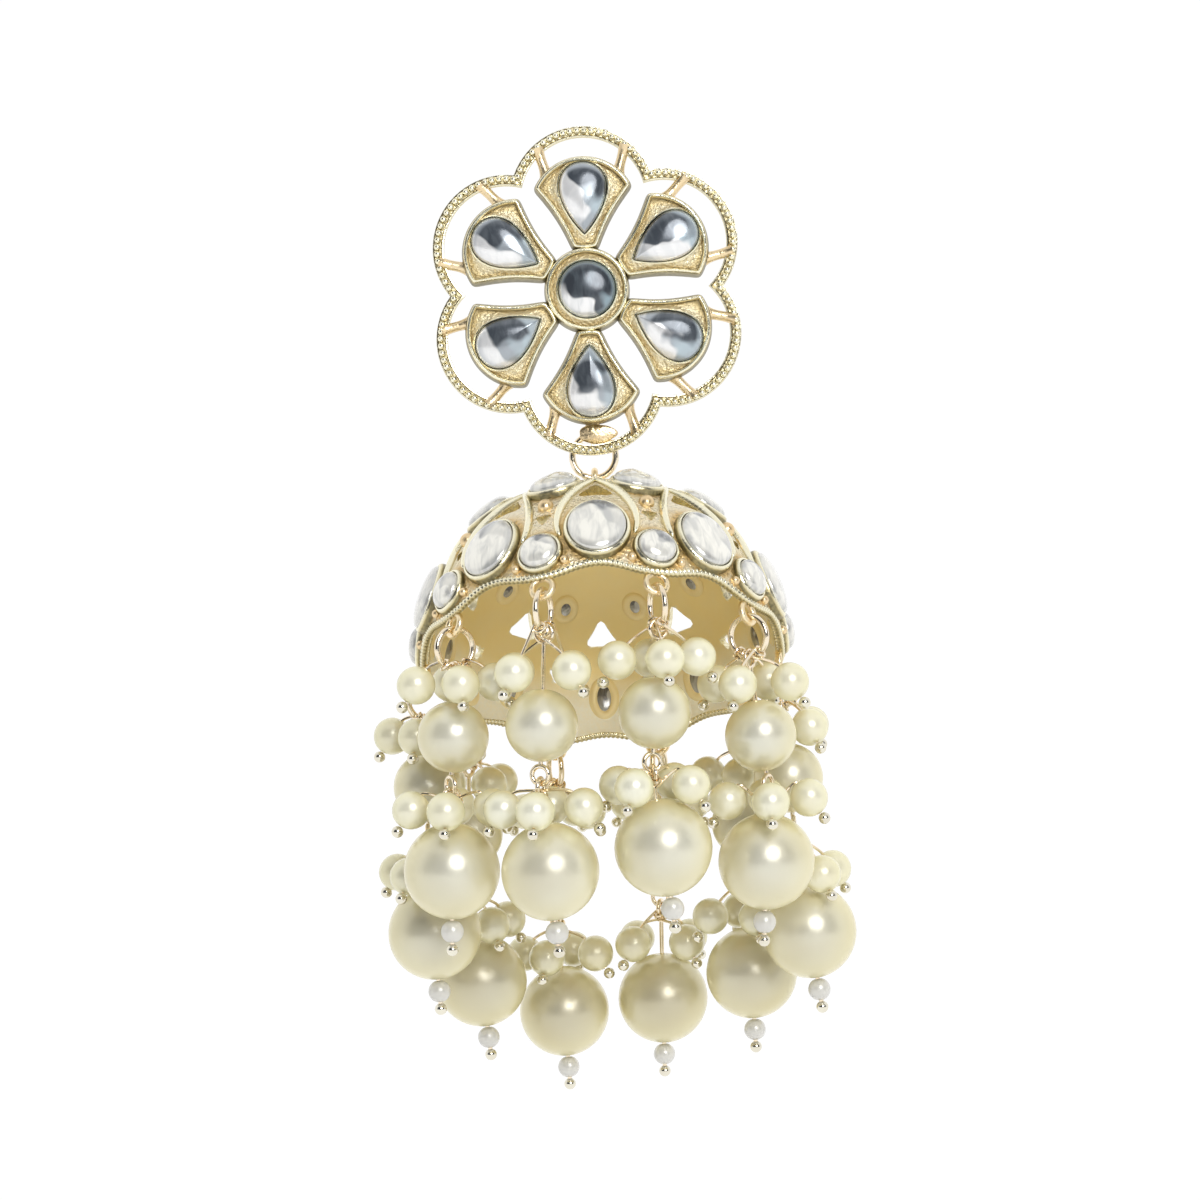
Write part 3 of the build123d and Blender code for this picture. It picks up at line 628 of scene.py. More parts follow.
def window_outline(turn, rise, size, up):
    """Triangle with rounded corners in turn and rise: reach 0.485 size / cos(a mod 120 - 60) from its
    middle, softened by averaging neighbours. Up is 1 with its point to the crown, -1 to the mouth."""
    a = np.linspace(0, 2 * np.pi, 25)[:-1]
    reach = 0.97 * size / (2 * np.cos(np.mod(a, 2 * np.pi / 3) - np.pi / 3))
    reach = (np.roll(reach, 1) + 2 * reach + np.roll(reach, -1)) / 4
    x, y = reach * np.sin(a), up * reach * np.cos(a)
    return np.stack([turn + np.degrees(x / (BELL_RADIUS * np.cos(np.radians(rise)))),
                     rise + np.degrees(y / BELL_RADIUS)], axis=-1)


def inside_outline(points, outline):
    """True where a point is inside a closed outline: a ray to +x crosses its sides an odd number of
    times."""
    a, b = outline, np.roll(outline, -1, axis=0)
    x, y = points[:, :1], points[:, 1:]
    spans = (a[:, 1] > y) != (b[:, 1] > y)
    with np.errstate(divide="ignore", invalid="ignore"):
        crossing = a[:, 0] + (y - a[:, 1]) / (b[:, 1] - a[:, 1]) * (b[:, 0] - a[:, 0])
    return (spans & (x < crossing)).sum(axis=1) % 2 == 1


def setting_shade(turn, rise):
    """Painted shade near the settings: 1 against a setting's edge, fading over half a millimetre."""
    near = np.full(np.shape(turn), 9.0)
    for middle_turn, middle_rise, wide, tall in SETTINGS:
        x = np.radians(turn - middle_turn) * BELL_RADIUS * np.cos(np.radians(rise))
        y = np.radians(rise - middle_rise) * BELL_RADIUS
        near = np.minimum(near, np.abs(np.hypot(x / wide, y / tall) - 1) * wide)
    return np.clip(np.exp(-near / 0.5), 0, 1)


sector_turns = np.linspace(SECTOR_START, SECTOR_START + SECTOR, SECTOR_COLUMNS)
mouth = rim_rise(sector_turns)[:, None]
climb = np.linspace(0, 1, SECTOR_LEVELS)
sheet = np.stack([np.broadcast_to(sector_turns[:, None], (SECTOR_COLUMNS, SECTOR_LEVELS)),
                  mouth + (TOP_RISE - mouth) * climb], axis=-1)
windows = [window_outline(**WINDOW), window_outline(**SMALL_WINDOW)]
sheet_points = np.concatenate([sheet.reshape(-1, 2)] + windows)
sheet_number = np.arange(SECTOR_COLUMNS * SECTOR_LEVELS).reshape(SECTOR_COLUMNS, SECTOR_LEVELS)
border = np.concatenate([sheet_number[:, 0], sheet_number[-1, 1:], sheet_number[-2::-1, -1],
                         sheet_number[0, -2:0:-1]])
loops, window_start = [border], sheet_number.size
for outline in windows:
    loops.append(window_start + np.arange(len(outline)))
    window_start += len(outline)
cut_lines = np.concatenate([np.stack([loop, np.roll(loop, -1)], axis=-1) for loop in loops])
cut = delaunay_2d_cdt([Vector(point) for point in sheet_points], cut_lines.tolist(), [], 0, 1e-6)
skin_flat = np.array([tuple(point) for point in cut[0]])
triangles = np.array([tuple(face) for face in cut[2]])
triangle_middle = skin_flat[triangles].mean(axis=1)
is_metal = inside_outline(triangle_middle, sheet_points[border])
for outline in windows:
    is_metal &= ~inside_outline(triangle_middle, outline)
triangles = triangles[is_metal]
edges = np.sort(np.concatenate([triangles[:, [0, 1]], triangles[:, [1, 2]], triangles[:, [2, 0]]]), axis=1)
edges, uses = np.unique(edges, axis=0, return_counts=True)
edges = edges[uses == 1]
edge_turns = skin_flat[edges][..., 0]
on_side = np.isclose(edge_turns, SECTOR_START) | np.isclose(edge_turns, SECTOR_START + SECTOR)
edges = edges[~on_side.all(axis=1)]
turns = skin_flat[None, :, 0] + SECTOR_TURNS[:, None]
rises = np.broadcast_to(skin_flat[None, :, 1], turns.shape)
ground_shade = np.broadcast_to(0.15 + 0.7 * setting_shade(skin_flat[:, 0], skin_flat[:, 1]), turns.shape)
# Painted light: the inside is paler low down, towards the mouth.
painted_light_low = np.broadcast_to(np.clip(1.1 - skin_flat[:, 1] / 22, 0, 0.56), turns.shape)
outside, inside = on_bell(turns, rises), on_bell(turns, rises, -SKIN)
copies = len(skin_flat) * np.arange(10)[:, None, None]
skin_faces = (triangles[None] + copies).reshape(-1, 3)
on_edge = np.unique(edges)
edges = np.searchsorted(on_edge, edges)
wall_points = np.concatenate([outside[:, on_edge], inside[:, on_edge]], axis=1)
wall_faces = np.concatenate([edges, edges[:, ::-1] + len(on_edge)], axis=1)
wall_faces = (wall_faces[None] + 2 * len(on_edge) * np.arange(10)[:, None, None]).reshape(-1, 4)
# The satin's second colour is near-white, the painted light low on the inside.
satin_gold = gold("satin_gold", (1.0, 0.79, 0.32), (1.0, 1.0, 0.90), 0.05, 0.42, metallic=0.15, cloud=0.3)
ground_gold = gold("ground_gold", (1.0, 0.94, 0.70), (0.76, 0.53, 0.22), 5.0, 0.22,
                   metallic=0.85, cloud=1.2)
bell_surfaces = [
    {"points": outside, "faces": skin_faces, "material": 3, "painted_shading": ground_shade},
    {"points": inside, "faces": skin_faces, "material": 1, "painted_shading": painted_light_low},
    # Painted shade on the window walls.
    {"points": wall_points, "faces": wall_faces, "painted_shading": 0.45},
]


# ---------------------------------------------------------------------------------------------------
# Bell settings: a rounded collar round every stone, a ridge that runs up each side of an oval to a
# point above its window, ribs and finer veins from there to the crown, a cast ball where two arches
# meet, and a grain on each side of an oval by the mouth.
# ---------------------------------------------------------------------------------------------------
OVAL_SIZE = (6.0, 7.2)
ROUND_RADIUS = 2.0
CROWN_PEAR_SIZE = (5.0, 6.3)
ARCH = [(11.6, 13.0), (12.9, 17.5), (13.1, 23.0), (12.0, 29.0), (9.6, 35.0), (6.3, 41.0), (2.9, 46.0),
        (0.0, 50.0)]
NODE_RISE = 29.5
NODE_RADIUS = 0.85
GRAIN_RADIUS = 0.5
GRAIN_TURN, GRAIN_RISE = 10.2, 3.8
ARCH_RIDGE = (0.46, 0.72)
RIB_RIDGE = (0.36, 0.5)
VEIN_RIDGE = (0.26, 0.4)
COLLAR = [(0.5, -0.9), (0.47, 0.1), (0.41, 0.3), (0.31, 0.46), (0.21, 0.53), (0.12, 0.51), (0.05, 0.4),
          (0.03, 0.1), (0.03, -0.9), (0.5, -0.9)]
COLLAR_SHADE = [1, 0.9, 0.4, 0.05, 0, 0, 0.4, 1, 1, 1]


def bell_planes(first, rise):
    """The ten tangent planes of a tier of stones: origin on the skin, across, to the crown, and out."""
    turn = first + SECTOR_TURNS
    lift = np.radians(rise)
    normal = outward(turn) * np.cos(lift) + BELL_AXIS * np.sin(lift)
    across = np.cross(BELL_AXIS, outward(turn))
    return BELL_MIDDLE + BELL_RADIUS * normal, across, np.cross(normal, across), normal


def on_planes(planes, local):
    """Local (across, along, out) points placed on each of the ten planes."""
    shape = (10,) + (1,) * (local.ndim - 1) + (3,)
    origin, across, along, normal = (part.reshape(shape) for part in planes)
    return origin + local[..., :1] * across + local[..., 1:2] * along + local[..., 2:] * normal


def collar_rows(outline, profile):
    """Closed profile of (margin, height) carried round a stone's outline."""
    normal = outward_of(outline)
    return np.stack([np.column_stack([outline + margin * normal, np.full(len(outline), level)])
                     for margin, level in profile])


def ridge(turn, rise, width, height):
    """Half-round ridge on the skin along a line of turns and rises, as a surface with its painted shade:
    skin + width cos a across the line + height sin a outwards, its foot sunk in and painted dark, its
    ends thin."""
    line = on_bell(turn, rise)
    out = line - BELL_MIDDLE
    out /= np.linalg.norm(out, axis=-1, keepdims=True)
    along = np.gradient(line, axis=-2)
    across = np.cross(along, out)
    across /= np.linalg.norm(across, axis=-1, keepdims=True)
    a = np.linspace(0, 2 * np.pi, 15)[:, None]
    taper = np.sin(np.linspace(0.0, np.pi, line.shape[-2])) ** 0.25
    wide, high = np.cos(a) * width, np.sin(a) * height - 0.1
    round_line = wide * across[..., None, :] + high * out[..., None, :]
    return {"points": line[..., None, :] + taper[:, None, None] * round_line,
            "painted_shading": np.clip(1.0 - 2.2 * np.sin(a[:, 0]), 0, 1)}


def smooth_line(corners, steps=28):
    """A line through corner points, resampled evenly and rounded by averaging its neighbours."""
    corners = np.asarray(corners, float)
    at = np.linspace(0, len(corners) - 1, steps)
    line = np.stack([np.interp(at, np.arange(len(corners)), corners[:, i]) for i in range(2)], axis=-1)
    for _ in range(3):
        line[1:-1] = (line[:-2] + 2 * line[1:-1] + line[2:]) / 4
    return line


oval = circle * np.array(OVAL_SIZE) / 2
round_outline = circle * ROUND_RADIUS
crown_pear = by_angle(pear_outline(*CROWN_PEAR_SIZE, 1), np.zeros(2))
TIERS = [("oval", oval, 0.0, OVAL_RISE), ("round", round_outline, 18.0, ROUND_RISE),
         ("crown", crown_pear, 18.0, CROWN_PEAR_RISE)]
collar_shade = np.broadcast_to(np.array(COLLAR_SHADE)[:, None], (len(COLLAR), CUP_SIDES + 1))
for name, outline, first_turn, rise in TIERS:
    collars = on_planes(bell_planes(first_turn, rise), collar_rows(outline, COLLAR)[:, ::3])
    bell_surfaces.append({"points": collars, "painted_shading": collar_shade[:, ::3]})
arch = smooth_line(ARCH)
for line_turns, line_rises, size in (
        (arch[:, 0], arch[:, 1], ARCH_RIDGE), (-arch[:, 0], arch[:, 1], ARCH_RIDGE),
        (np.zeros(16), np.linspace(49, 81, 16), RIB_RIDGE),
        (np.full(12, SECTOR / 2), np.linspace(58, 80, 12), VEIN_RIDGE)):
    lines = SECTOR_TURNS[:, None] + line_turns
    bell_surfaces.append(ridge(lines, np.broadcast_to(line_rises, lines.shape), *size))
nodes_at = on_bell(SECTOR / 2 + SECTOR_TURNS, NODE_RISE, 0.05)
bell_surfaces.append({"points": balls(nodes_at, NODE_RADIUS, 10, 16), "material": 2, "painted_shading": 0.25})
grain_turns = np.concatenate([SECTOR_TURNS - GRAIN_TURN, SECTOR_TURNS + GRAIN_TURN])
grains = balls(on_bell(grain_turns, GRAIN_RISE, 0.1), GRAIN_RADIUS, 8, 12)
bell_surfaces.append({"points": grains, "material": 2, "painted_shading": 0.2})


# ---------------------------------------------------------------------------------------------------
# Bell mouth and crown: a twisted edge wire round the scallops, ten eyes under it for the strands, a
# stepped collar at the top, the eye that hangs on the split ring, and three solder grains at its foot.
# ---------------------------------------------------------------------------------------------------
TWISTS = 240
EDGE_WIRE = 0.43
RIM_EYE_TURNS = np.array([-162, -126, -90, -54, -18, 18, 54, 90, 126, 162.0])
RIM_EYE_RADIUS = 1.1
RIM_EYE_WIRE = 0.35
RIM_EYE_REACH = 18.7
RIM_EYE_DROP = 1.2
CROWN_EYE = (0.0, 1.2, -20.775)
CROWN_EYE_WIRE = 0.375
CROWN_GRAINS = [(0.3, 0.15, -21.0), (1.1, 0.45, -21.15), (-0.8, 0.5, -21.2)]
CROWN_PROFILE = [(0.0, 19.4), (3.3, 19.4), (3.3, 19.9), (2.9, 20.1), (2.2, 20.15), (2.05, 20.5), (1.6, 20.9),
                 (1.15, 21.1), (1.1, 21.45), (0.6, 21.6), (0.0, 21.6)]


def twisted_edge():
    """Edge wire along the mouth: a small circle of radius 0.43 (1 + 0.14 cos(2 b + twist)) round a line
    just inside the skin, the twist turning on with every step."""
    a = np.linspace(0, 360, TWISTS * 6 + 1)[:, None]
    b = np.linspace(0, 2 * np.pi, 13)[None, :]
    swell = EDGE_WIRE * (1 + 0.14 * np.cos(2 * b + np.radians(a) * TWISTS))
    middle_line = on_bell(a, rim_rise(a), -0.35)
    out = outward(a + 0 * b)
    return middle_line + swell[..., None] * (np.cos(b)[..., None] * out + np.sin(b)[..., None] * BELL_AXIS)


def turned(profile, columns=40):
    """Surface of an (out, up) profile turned once round the bell's axis."""
    profile = np.asarray(profile)
    turn = np.linspace(0, 360, columns + 1)
    return BELL_MIDDLE + profile[:, None, :1] * outward(turn) + profile[:, None, 1:] * BELL_AXIS


eye_out = outward(RIM_EYE_TURNS)
rim_eyes = BELL_MIDDLE + RIM_EYE_REACH * eye_out - RIM_EYE_DROP * BELL_AXIS
edge = twisted_edge()
edge_turn = np.linspace(0, 2 * np.pi, 13)[None, :]
twist_phase = np.linspace(0, 2 * np.pi * TWISTS, TWISTS * 6 + 1)[:, None]
twist_shade = 0.1 - 0.1 * np.cos(2 * edge_turn + twist_phase)
twist_shade = np.clip(twist_shade + 1.4 * np.clip(-np.sin(edge_turn) - 0.5, 0, 1), 0, 1)
bell_surfaces += [
    {"points": edge, "painted_shading": twist_shade},
    {"points": wire_ring(rim_eyes, eye_out, RIM_EYE_RADIUS, RIM_EYE_WIRE, 32, 10), "material": 2},
    {"points": turned(CROWN_PROFILE), "painted_shading": 0.1},
    {"points": wire_ring(CROWN_EYE, (1, 0, 0), RIM_EYE_RADIUS, CROWN_EYE_WIRE, 36, 12), "material": 2},
    {"points": balls(CROWN_GRAINS, 0.5), "material": 2, "painted_shading": 0.2},
]
lay("bell_shell", bell_surfaces, [cast_gold, satin_gold, solder_gold, ground_gold], "drop",
    ["dome"])


# ---------------------------------------------------------------------------------------------------
# Bell stones: foiled glass ovals, rounds and crown pears in the collars, with painted reflections
# paler and milkier than the flower's because they lean up to the light, and the foil discs that close
# their backs inside, with the same painted pattern in greys, each in a rounded lip.
# ---------------------------------------------------------------------------------------------------
# Painted reflections on the bell's stones, and a grey version of them on the backs inside.
bell_foil_and_reflection = foiled_glass("bell_foil_and_reflection", (0.99, 0.97, 0.89), (0.60, 0.60, 0.58),
                         (0.23, 0.24, 0.25), (0.82, 0.80, 0.73), -0.2, 0.3, 0.7)
back_foil_and_reflection = foiled_glass("back_foil_and_reflection", (0.50, 0.50, 0.48), (0.30, 0.30, 0.30),
                         (0.10, 0.10, 0.11), (0.40, 0.40, 0.38), 0.0, 0.0, 0.5)


def seeded(local, seeds):
    """Pattern places of a tier: each stone's own across and along places, and its seed as the third."""
    places = np.broadcast_to(local, (len(seeds),) + local.shape).copy()
    places[..., 2] = seeds[:, None, None]
    return places


STONE_NODES = {"oval": "dome_oval_stones", "round": "dome_round_stones", "crown": "crown_stones"}
BACKS = {"oval": (0.95, 1.7), "round": (0.72, 0.72), "crown": (0.72, 0.9)}
back_surfaces, lip_surfaces = [], []
for tier, (name, outline, first_turn, rise) in enumerate(TIERS):
    planes = bell_planes(first_turn, rise)
    dome_rows = cabochon(outline, np.zeros(2), 0.2, 0.55, 1.5, rows=12)[:, ::3]
    half = np.append(np.abs(outline).max(axis=0), 1)
    seeds = np.arange(10) * 0.73 + tier * 3.1
    lay(f"{name}_glass", [{"points": on_planes(planes, dome_rows), "place": seeded(dome_rows / half, seeds)}],
        [bell_foil_and_reflection], "drop", [STONE_NODES[name]], crease=60)
    disc = circle[::4] * np.array(BACKS[name])
    t = np.linspace(0, np.pi, 9)[:, None, None]
    button = np.concatenate([np.sin(t) * disc, -1.0 - 0.22 * np.cos(t) + 0 * disc[None, :, :1]], axis=-1)
    back_surfaces.append({"points": on_planes(planes, button),
                          "place": seeded(button / (*BACKS[name], 1), seeds)})
    lip = [(0.5 * np.cos(a) + 0.25, -1.0 - 0.28 * np.sin(a)) for a in np.linspace(0, 2 * np.pi, 11)]
    lip_surfaces.append({"points": on_planes(planes, collar_rows(disc, lip)), "painted_shading": 0.1})
lay("stone_backs", back_surfaces, [back_foil_and_reflection], "drop", crease=60)
lay("back_lips", lip_surfaces, [satin_gold], "drop")


# ---------------------------------------------------------------------------------------------------
# Strands: where each of the ten hangs from its eye under the bell's mouth. Top to bottom: split ring,
# eye pin with a middle pearl, head pin with a large pearl and a seed bead, and a cluster of four
# small pearls at the top of each pin.
# ---------------------------------------------------------------------------------------------------
MIDDLE_LEAN = np.radians([-2, -2, -3, -5, -4, -5, 6, 4, -2, -2])
BOTTOM_LEAN = np.radians([2, 5, 2, -2, 4, 6, -4, 7, 1, -1])
UPPER_TURN = np.array([30, 55, 15, 80, 45, 80, 25, 50, 10, 30])
LOWER_TURN = np.array([20, 60, 30, 5, 10, 30, 0, 60, 80, 50])
MIDDLE_NECK = np.array([3.0, 2.4, 1.9, 1.9, 4.4, 3.6, 3.1, 2.6, 2.5, 2.5])[:, None]
LARGE_NECK = np.array([4.3, 3.7, 3.1, 1.4, 2.4, 1.3, 0.6, 4.0, 3.9, 3.8])[:, None]
JUMP_RADIUS = 2.1
JUMP_WIRE = 0.325
LOOP_RADIUS = 0.9
PIN_WIRE = 0.25
MIDDLE_RADIUS = 3.72
LARGE_RADIUS = 5.0
SMALL_RADIUS = 2.0
SEED_RADIUS = 1.2
PIN_HEAD_RADIUS = 0.65
SMALL_HEAD_RADIUS = 0.62
BEAD_HOLE, SMALL_HOLE = 0.35, 0.28
GAP = 0.05
MIDDLE_FOOT = 0.15
LOOP_REACH = LOOP_RADIUS + PIN_WIRE
UPPER_CLUSTER_RADIUS, UPPER_CLUSTER_LIFT = 4.1, 5.5
LOWER_CLUSTER_RADIUS, LOWER_CLUSTER_LIFT = 4.2, 6.4
PIN_SLOPE = np.radians(55)
DOWN = np.array([0.0, 0.0, -1.0])


def leaning(angle):
    """Downward directions leaned sideways, foot towards +X: (sin a, 0, -cos a)."""
    return np.stack([np.sin(angle), 0 * angle, -np.cos(angle)], axis=-1)


flat_out = np.linalg.norm(eye_out[:, :2], axis=1, keepdims=True)
ring_side = np.concatenate([eye_out[:, :2] / flat_out, np.zeros((10, 1))], axis=1)
ring_normal = np.cross(ring_side, -DOWN)
reach = JUMP_RADIUS - JUMP_WIRE - RIM_EYE_WIRE - GAP
hang = RIM_EYE_RADIUS * flat_out + np.sqrt(reach ** 2 - (RIM_EYE_RADIUS * eye_out[:, 2:]) ** 2)
lean_1, lean_2 = leaning(MIDDLE_LEAN), leaning(BOTTOM_LEAN)
jump_rings = rim_eyes + DOWN * hang
top_loops = jump_rings + DOWN * (JUMP_RADIUS - JUMP_WIRE - GAP - PIN_WIRE + LOOP_RADIUS)
middles = top_loops + lean_1 * (LOOP_REACH + MIDDLE_NECK + MIDDLE_RADIUS)
foot_loops = middles + lean_1 * (MIDDLE_RADIUS + MIDDLE_FOOT + LOOP_REACH)
head_loops = foot_loops + DOWN * (2 * (LOOP_RADIUS - PIN_WIRE) - GAP)
larges = head_loops + lean_2 * (LOOP_REACH + LARGE_NECK + LARGE_RADIUS)
seeds_at = larges + lean_2 * (LARGE_RADIUS + GAP + SEED_RADIUS)
pin_heads = seeds_at + lean_2 * (SEED_RADIUS + GAP + PIN_HEAD_RADIUS)


def cluster(middle, turn, radius):
    """Middles and pin directions of four small pearls evenly round a level circle."""
    angle = np.radians(turn[:, None] + 90 * np.arange(4))
    away = np.stack([np.cos(angle), -np.sin(angle), 0 * angle], axis=-1)
    return middle[:, None] + radius * away, away * np.cos(PIN_SLOPE) + DOWN * np.sin(PIN_SLOPE)


upper_pearls, upper_pins = cluster(middles - lean_1 * UPPER_CLUSTER_LIFT, UPPER_TURN,
                                   UPPER_CLUSTER_RADIUS)
lower_pearls, lower_pins = cluster(larges - lean_2 * LOWER_CLUSTER_LIFT, LOWER_TURN,
                                   LOWER_CLUSTER_RADIUS)


# ---------------------------------------------------------------------------------------------------
# Pearls: lacquered plastic beads with a drilled dimple at each end, in three sizes, and the white
# seed beads. The lacquer is cream, with a painted lemon-gold edge glow where it is seen edge on and a
# soft sheen below a clear gloss. Painted shade makes the back strands deeper.
# ---------------------------------------------------------------------------------------------------
def drilled_beads(centres, directions, radius, hole, rows=32, columns=40, wobble=0.006):
    """Beads turned about their pins: a ball whose radius wanders a little and dips into the drill hole
    at each pole, by a share 0.14 hole exp(-(arc from the pole / (1.15 hole))^2)."""
    centres, directions = centres.reshape(-1, 3), directions.reshape(-1, 3)
    helper = np.where(np.abs(directions[:, 1:2]) < 0.8, (0.0, 1.0, 0.0), (1.0, 0.0, 0.0))
    across = np.cross(directions, helper)
    across /= np.linalg.norm(across, axis=1, keepdims=True)
    side = np.cross(directions, across)
    t = np.linspace(0, 1, rows + 1)
    t = np.pi * (t - 0.06 * np.sin(2 * np.pi * t))[None, :, None]
    a = np.linspace(0, 2 * np.pi, columns + 1)[None, None, :]
    seed = np.arange(len(centres))[:, None, None] * 1.7
    wander = 1 - wobble * (1 + np.sin(2 * t + seed) * np.cos(a + seed))
    edge = np.minimum(t, np.pi - t)
    dip = 1 - 0.14 * hole * np.exp(-(edge * radius / (1.15 * hole)) ** 2)
    r = (radius * wander * dip)[..., None]
    along = (r * np.cos(t)[..., None]) * directions[:, None, None]
    out = np.cos(a)[..., None] * across[:, None, None] + np.sin(a)[..., None] * side[:, None, None]
    return centres[:, None, None] + along + r * np.sin(t)[..., None] * out


def pearl_lacquer_and_shade():
    """Shared nacre effect: the body colour clouded at random towards a second one, and further towards
    it by painted shade on the back strands, and faint fine ripples.
    """
    group, given, out = effect_group("pearl_lacquer_and_shade", [("Body", "Color"), ("Cloud", "Color")],
                                     [("Color", "Color"), ("Roughness", "Float"), ("Normal", "Vector")])
    place = add(group, "TexCoord").outputs["Object"]
    back_shade = add(group, "Attribute", attribute_name="place").outputs["Vector"]
    back_shade = add(group, "SeparateXYZ", {0: back_shade}).outputs[0]
    cloud = add(group, "TexNoise", {"Vector": place, "Scale": 170.0, "Detail": 1.0}).outputs["Fac"]
    cloud = add(group, "MapRange", {"Value": cloud, "From Min": 0.3, "From Max": 0.8, "To Max": 0.5})
    cloud = cloud.outputs[0]
    clouded = add(group, "Math", {0: cloud, 1: back_shade}, operation="ADD", use_clamp=True).outputs[0]
    colour = mixed(group, clouded, given.outputs["Body"], given.outputs["Cloud"])
    rough = {"Value": cloud, "From Max": 0.5, "To Min": 0.3, "To Max": 0.38}
    rough = add(group, "MapRange", rough).outputs[0]
    ripple = add(group, "TexNoise", {"Vector": place, "Scale": 1400.0, "Detail": 2.0}).outputs["Fac"]
    bump = add(group, "Bump", {"Strength": 0.12, "Distance": 0.0001, "Height": ripple})
    group.links.new(colour, out.inputs["Color"])
    group.links.new(rough, out.inputs["Roughness"])
    group.links.new(bump.outputs[0], out.inputs["Normal"])
    return group


pearl_effect = pearl_lacquer_and_shade()


def pearl(name, body, cloud, painted_edge, sheen):
    """Pearl lacquer: the shared nacre effect, with a painted lemon-gold edge glow where a Layer Weight
    sees it edge on, under a clear coat.
    """
    coated = {"Metallic": sheen, "Coat Weight": 1.0, "Coat Roughness": 0.24}
    material, effect, shader = effect_material(name, pearl_effect, {"Body": body, "Cloud": cloud}, coated)
    tree = material.node_tree
    # Painted edge glow: the third colour where the surface is seen edge on.
    facing = add(tree, "LayerWeight", {"Blend": 0.45}).outputs["Facing"]
    tinted = mixed(tree, facing, effect.outputs["Color"], (*painted_edge, 1))
    tree.links.new(tinted, shader.inputs["Base Color"])
    return material


def with_back_shade(grid, shades):
    """Each pearl's share of painted shade, from 0 for the body colour up, as the first of its pattern
    places.
    """
    places = np.zeros(grid.shape)
    places[..., 0] = np.reshape(shades, (-1, 1, 1))
    return places


# Second colour: random cloud and painted back shade. Third: painted lemon-gold edge glow.
cream_pearl = pearl("cream_pearl", (0.805, 0.795, 0.685), (0.62, 0.555, 0.37), (0.97, 0.865, 0.42), 0.3)
small_pearl = pearl("small_pearl", (0.93, 0.92, 0.77), (0.82, 0.74, 0.47), (0.98, 0.92, 0.51), 0.22)
seed_white = pearl("seed_white", (0.76, 0.745, 0.69), (0.66, 0.64, 0.58), (0.84, 0.82, 0.76), 0.1)

numbers = [f"{number:02d}" for number in range(1, 11)]
# Painted shade: pearls on strands further towards the back are deeper, the large ones a little more.
strand_back_shade = 0.5 * (0.5 - 0.5 * np.cos(np.radians(RIM_EYE_TURNS)))
large_grid = drilled_beads(larges, lean_2, LARGE_RADIUS, BEAD_HOLE)
middle_grid = drilled_beads(middles, lean_1, MIDDLE_RADIUS, BEAD_HOLE)
lay("large_pearls", [{"points": large_grid, "place": with_back_shade(large_grid, strand_back_shade + 0.1)}], [cream_pearl],
    "drop", [f"large_pearl_{number}" for number in numbers], crease=60)
lay("middle_pearls", [{"points": middle_grid, "place": with_back_shade(middle_grid, strand_back_shade)}], [cream_pearl],
    "drop", [f"medium_pearl_{number}" for number in numbers], crease=60)
small_at = np.concatenate([upper_pearls.reshape(-1, 3), lower_pearls.reshape(-1, 3)])
small_pins = np.concatenate([upper_pins.reshape(-1, 3), lower_pins.reshape(-1, 3)])
small_grid = drilled_beads(small_at, small_pins, SMALL_RADIUS, SMALL_HOLE, rows=18, columns=24)
small_back_shade = np.tile(np.repeat(strand_back_shade, 4), 2)
lay("small_pearl_clusters", [{"points": small_grid, "place": with_back_shade(small_grid, small_back_shade)}], [small_pearl],
    "drop", [f"small_pearls_{number}" for number in numbers], crease=60)
seed_grid = drilled_beads(seeds_at, lean_2, SEED_RADIUS, BEAD_HOLE, rows=16, columns=24)
lay("seed_glass", [{"points": seed_grid, "place": with_back_shade(seed_grid, np.zeros(10))}], [seed_white], "drop",
    ["seed_beads"], crease=60)


# ---------------------------------------------------------------------------------------------------
# Strand wires: split rings through the bell's eyes, eye pins and head pins of bent brass wire, and
# the thin head pins of the small pearls, each curled round its ring or loop. Their ball heads are
# paler and more silvery than the wire.
# ---------------------------------------------------------------------------------------------------
SMALL_WIRE = 0.165
RING_HOOK_TURNS = np.radians([20, 42, 20, 42])
LOOP_HOOK_TURNS = np.radians([25, 65, 25, 65])


def curled_pins(centres, sides, radius, wire, pearls, pins, turns):
    """Lines of the small head pins: a curl nearly once round the ring's wire, a bend down to the pearl,
    and straight through it. The curl is hook + r (cos b p + sin b q), p towards the pearl and q across."""
    towards = np.sign(((pearls - centres[:, None]) * sides[:, None]).sum(axis=-1, keepdims=True))
    away = sides[:, None] * towards
    turns = turns[None, :, None]
    hook = centres[:, None] + radius * (away * np.sin(turns) + DOWN * np.cos(turns))
    wire_line = away * np.cos(turns) - DOWN * np.sin(turns)
    bend = pearls - pins * (SMALL_RADIUS + 0.55)
    p = bend - hook
    p -= wire_line * (p * wire_line).sum(axis=-1, keepdims=True)
    p /= np.linalg.norm(p, axis=-1, keepdims=True)
    q = np.cross(wire_line, p)
    curl = wire + SMALL_WIRE + 0.07
    b = np.radians(np.linspace(-400, -90, 18))[:, None]
    drift = np.linspace(-0.32, 0, 18)[:, None] * wire_line[..., None, :]
    circle_round = np.cos(b) * p[..., None, :] + np.sin(b) * q[..., None, :]
    round_wire = hook[..., None, :] + curl * circle_round + drift
    start, end = round_wire[..., -1:, :], pearls + pins * SMALL_RADIUS
    bend, entry = bend[..., None, :], (pearls - pins * SMALL_RADIUS * 0.9)[..., None, :]
    t = np.linspace(0.08, 1, 9)[:, None]
    bow = (1 - t) ** 2 * start + 2 * t * (1 - t) * bend + t ** 2 * entry
    line = np.concatenate([round_wire, bow, end[..., None, :]], axis=-2)
    return line.reshape(-1, line.shape[-2], 3), wire_line.reshape(-1, 1, 3)


def straight(starts, ends, steps=3):
    """Straight lines between matching points."""
    t = np.linspace(0, 1, steps)[:, None]
    return starts[:, None] * (1 - t) + ends[:, None] * t


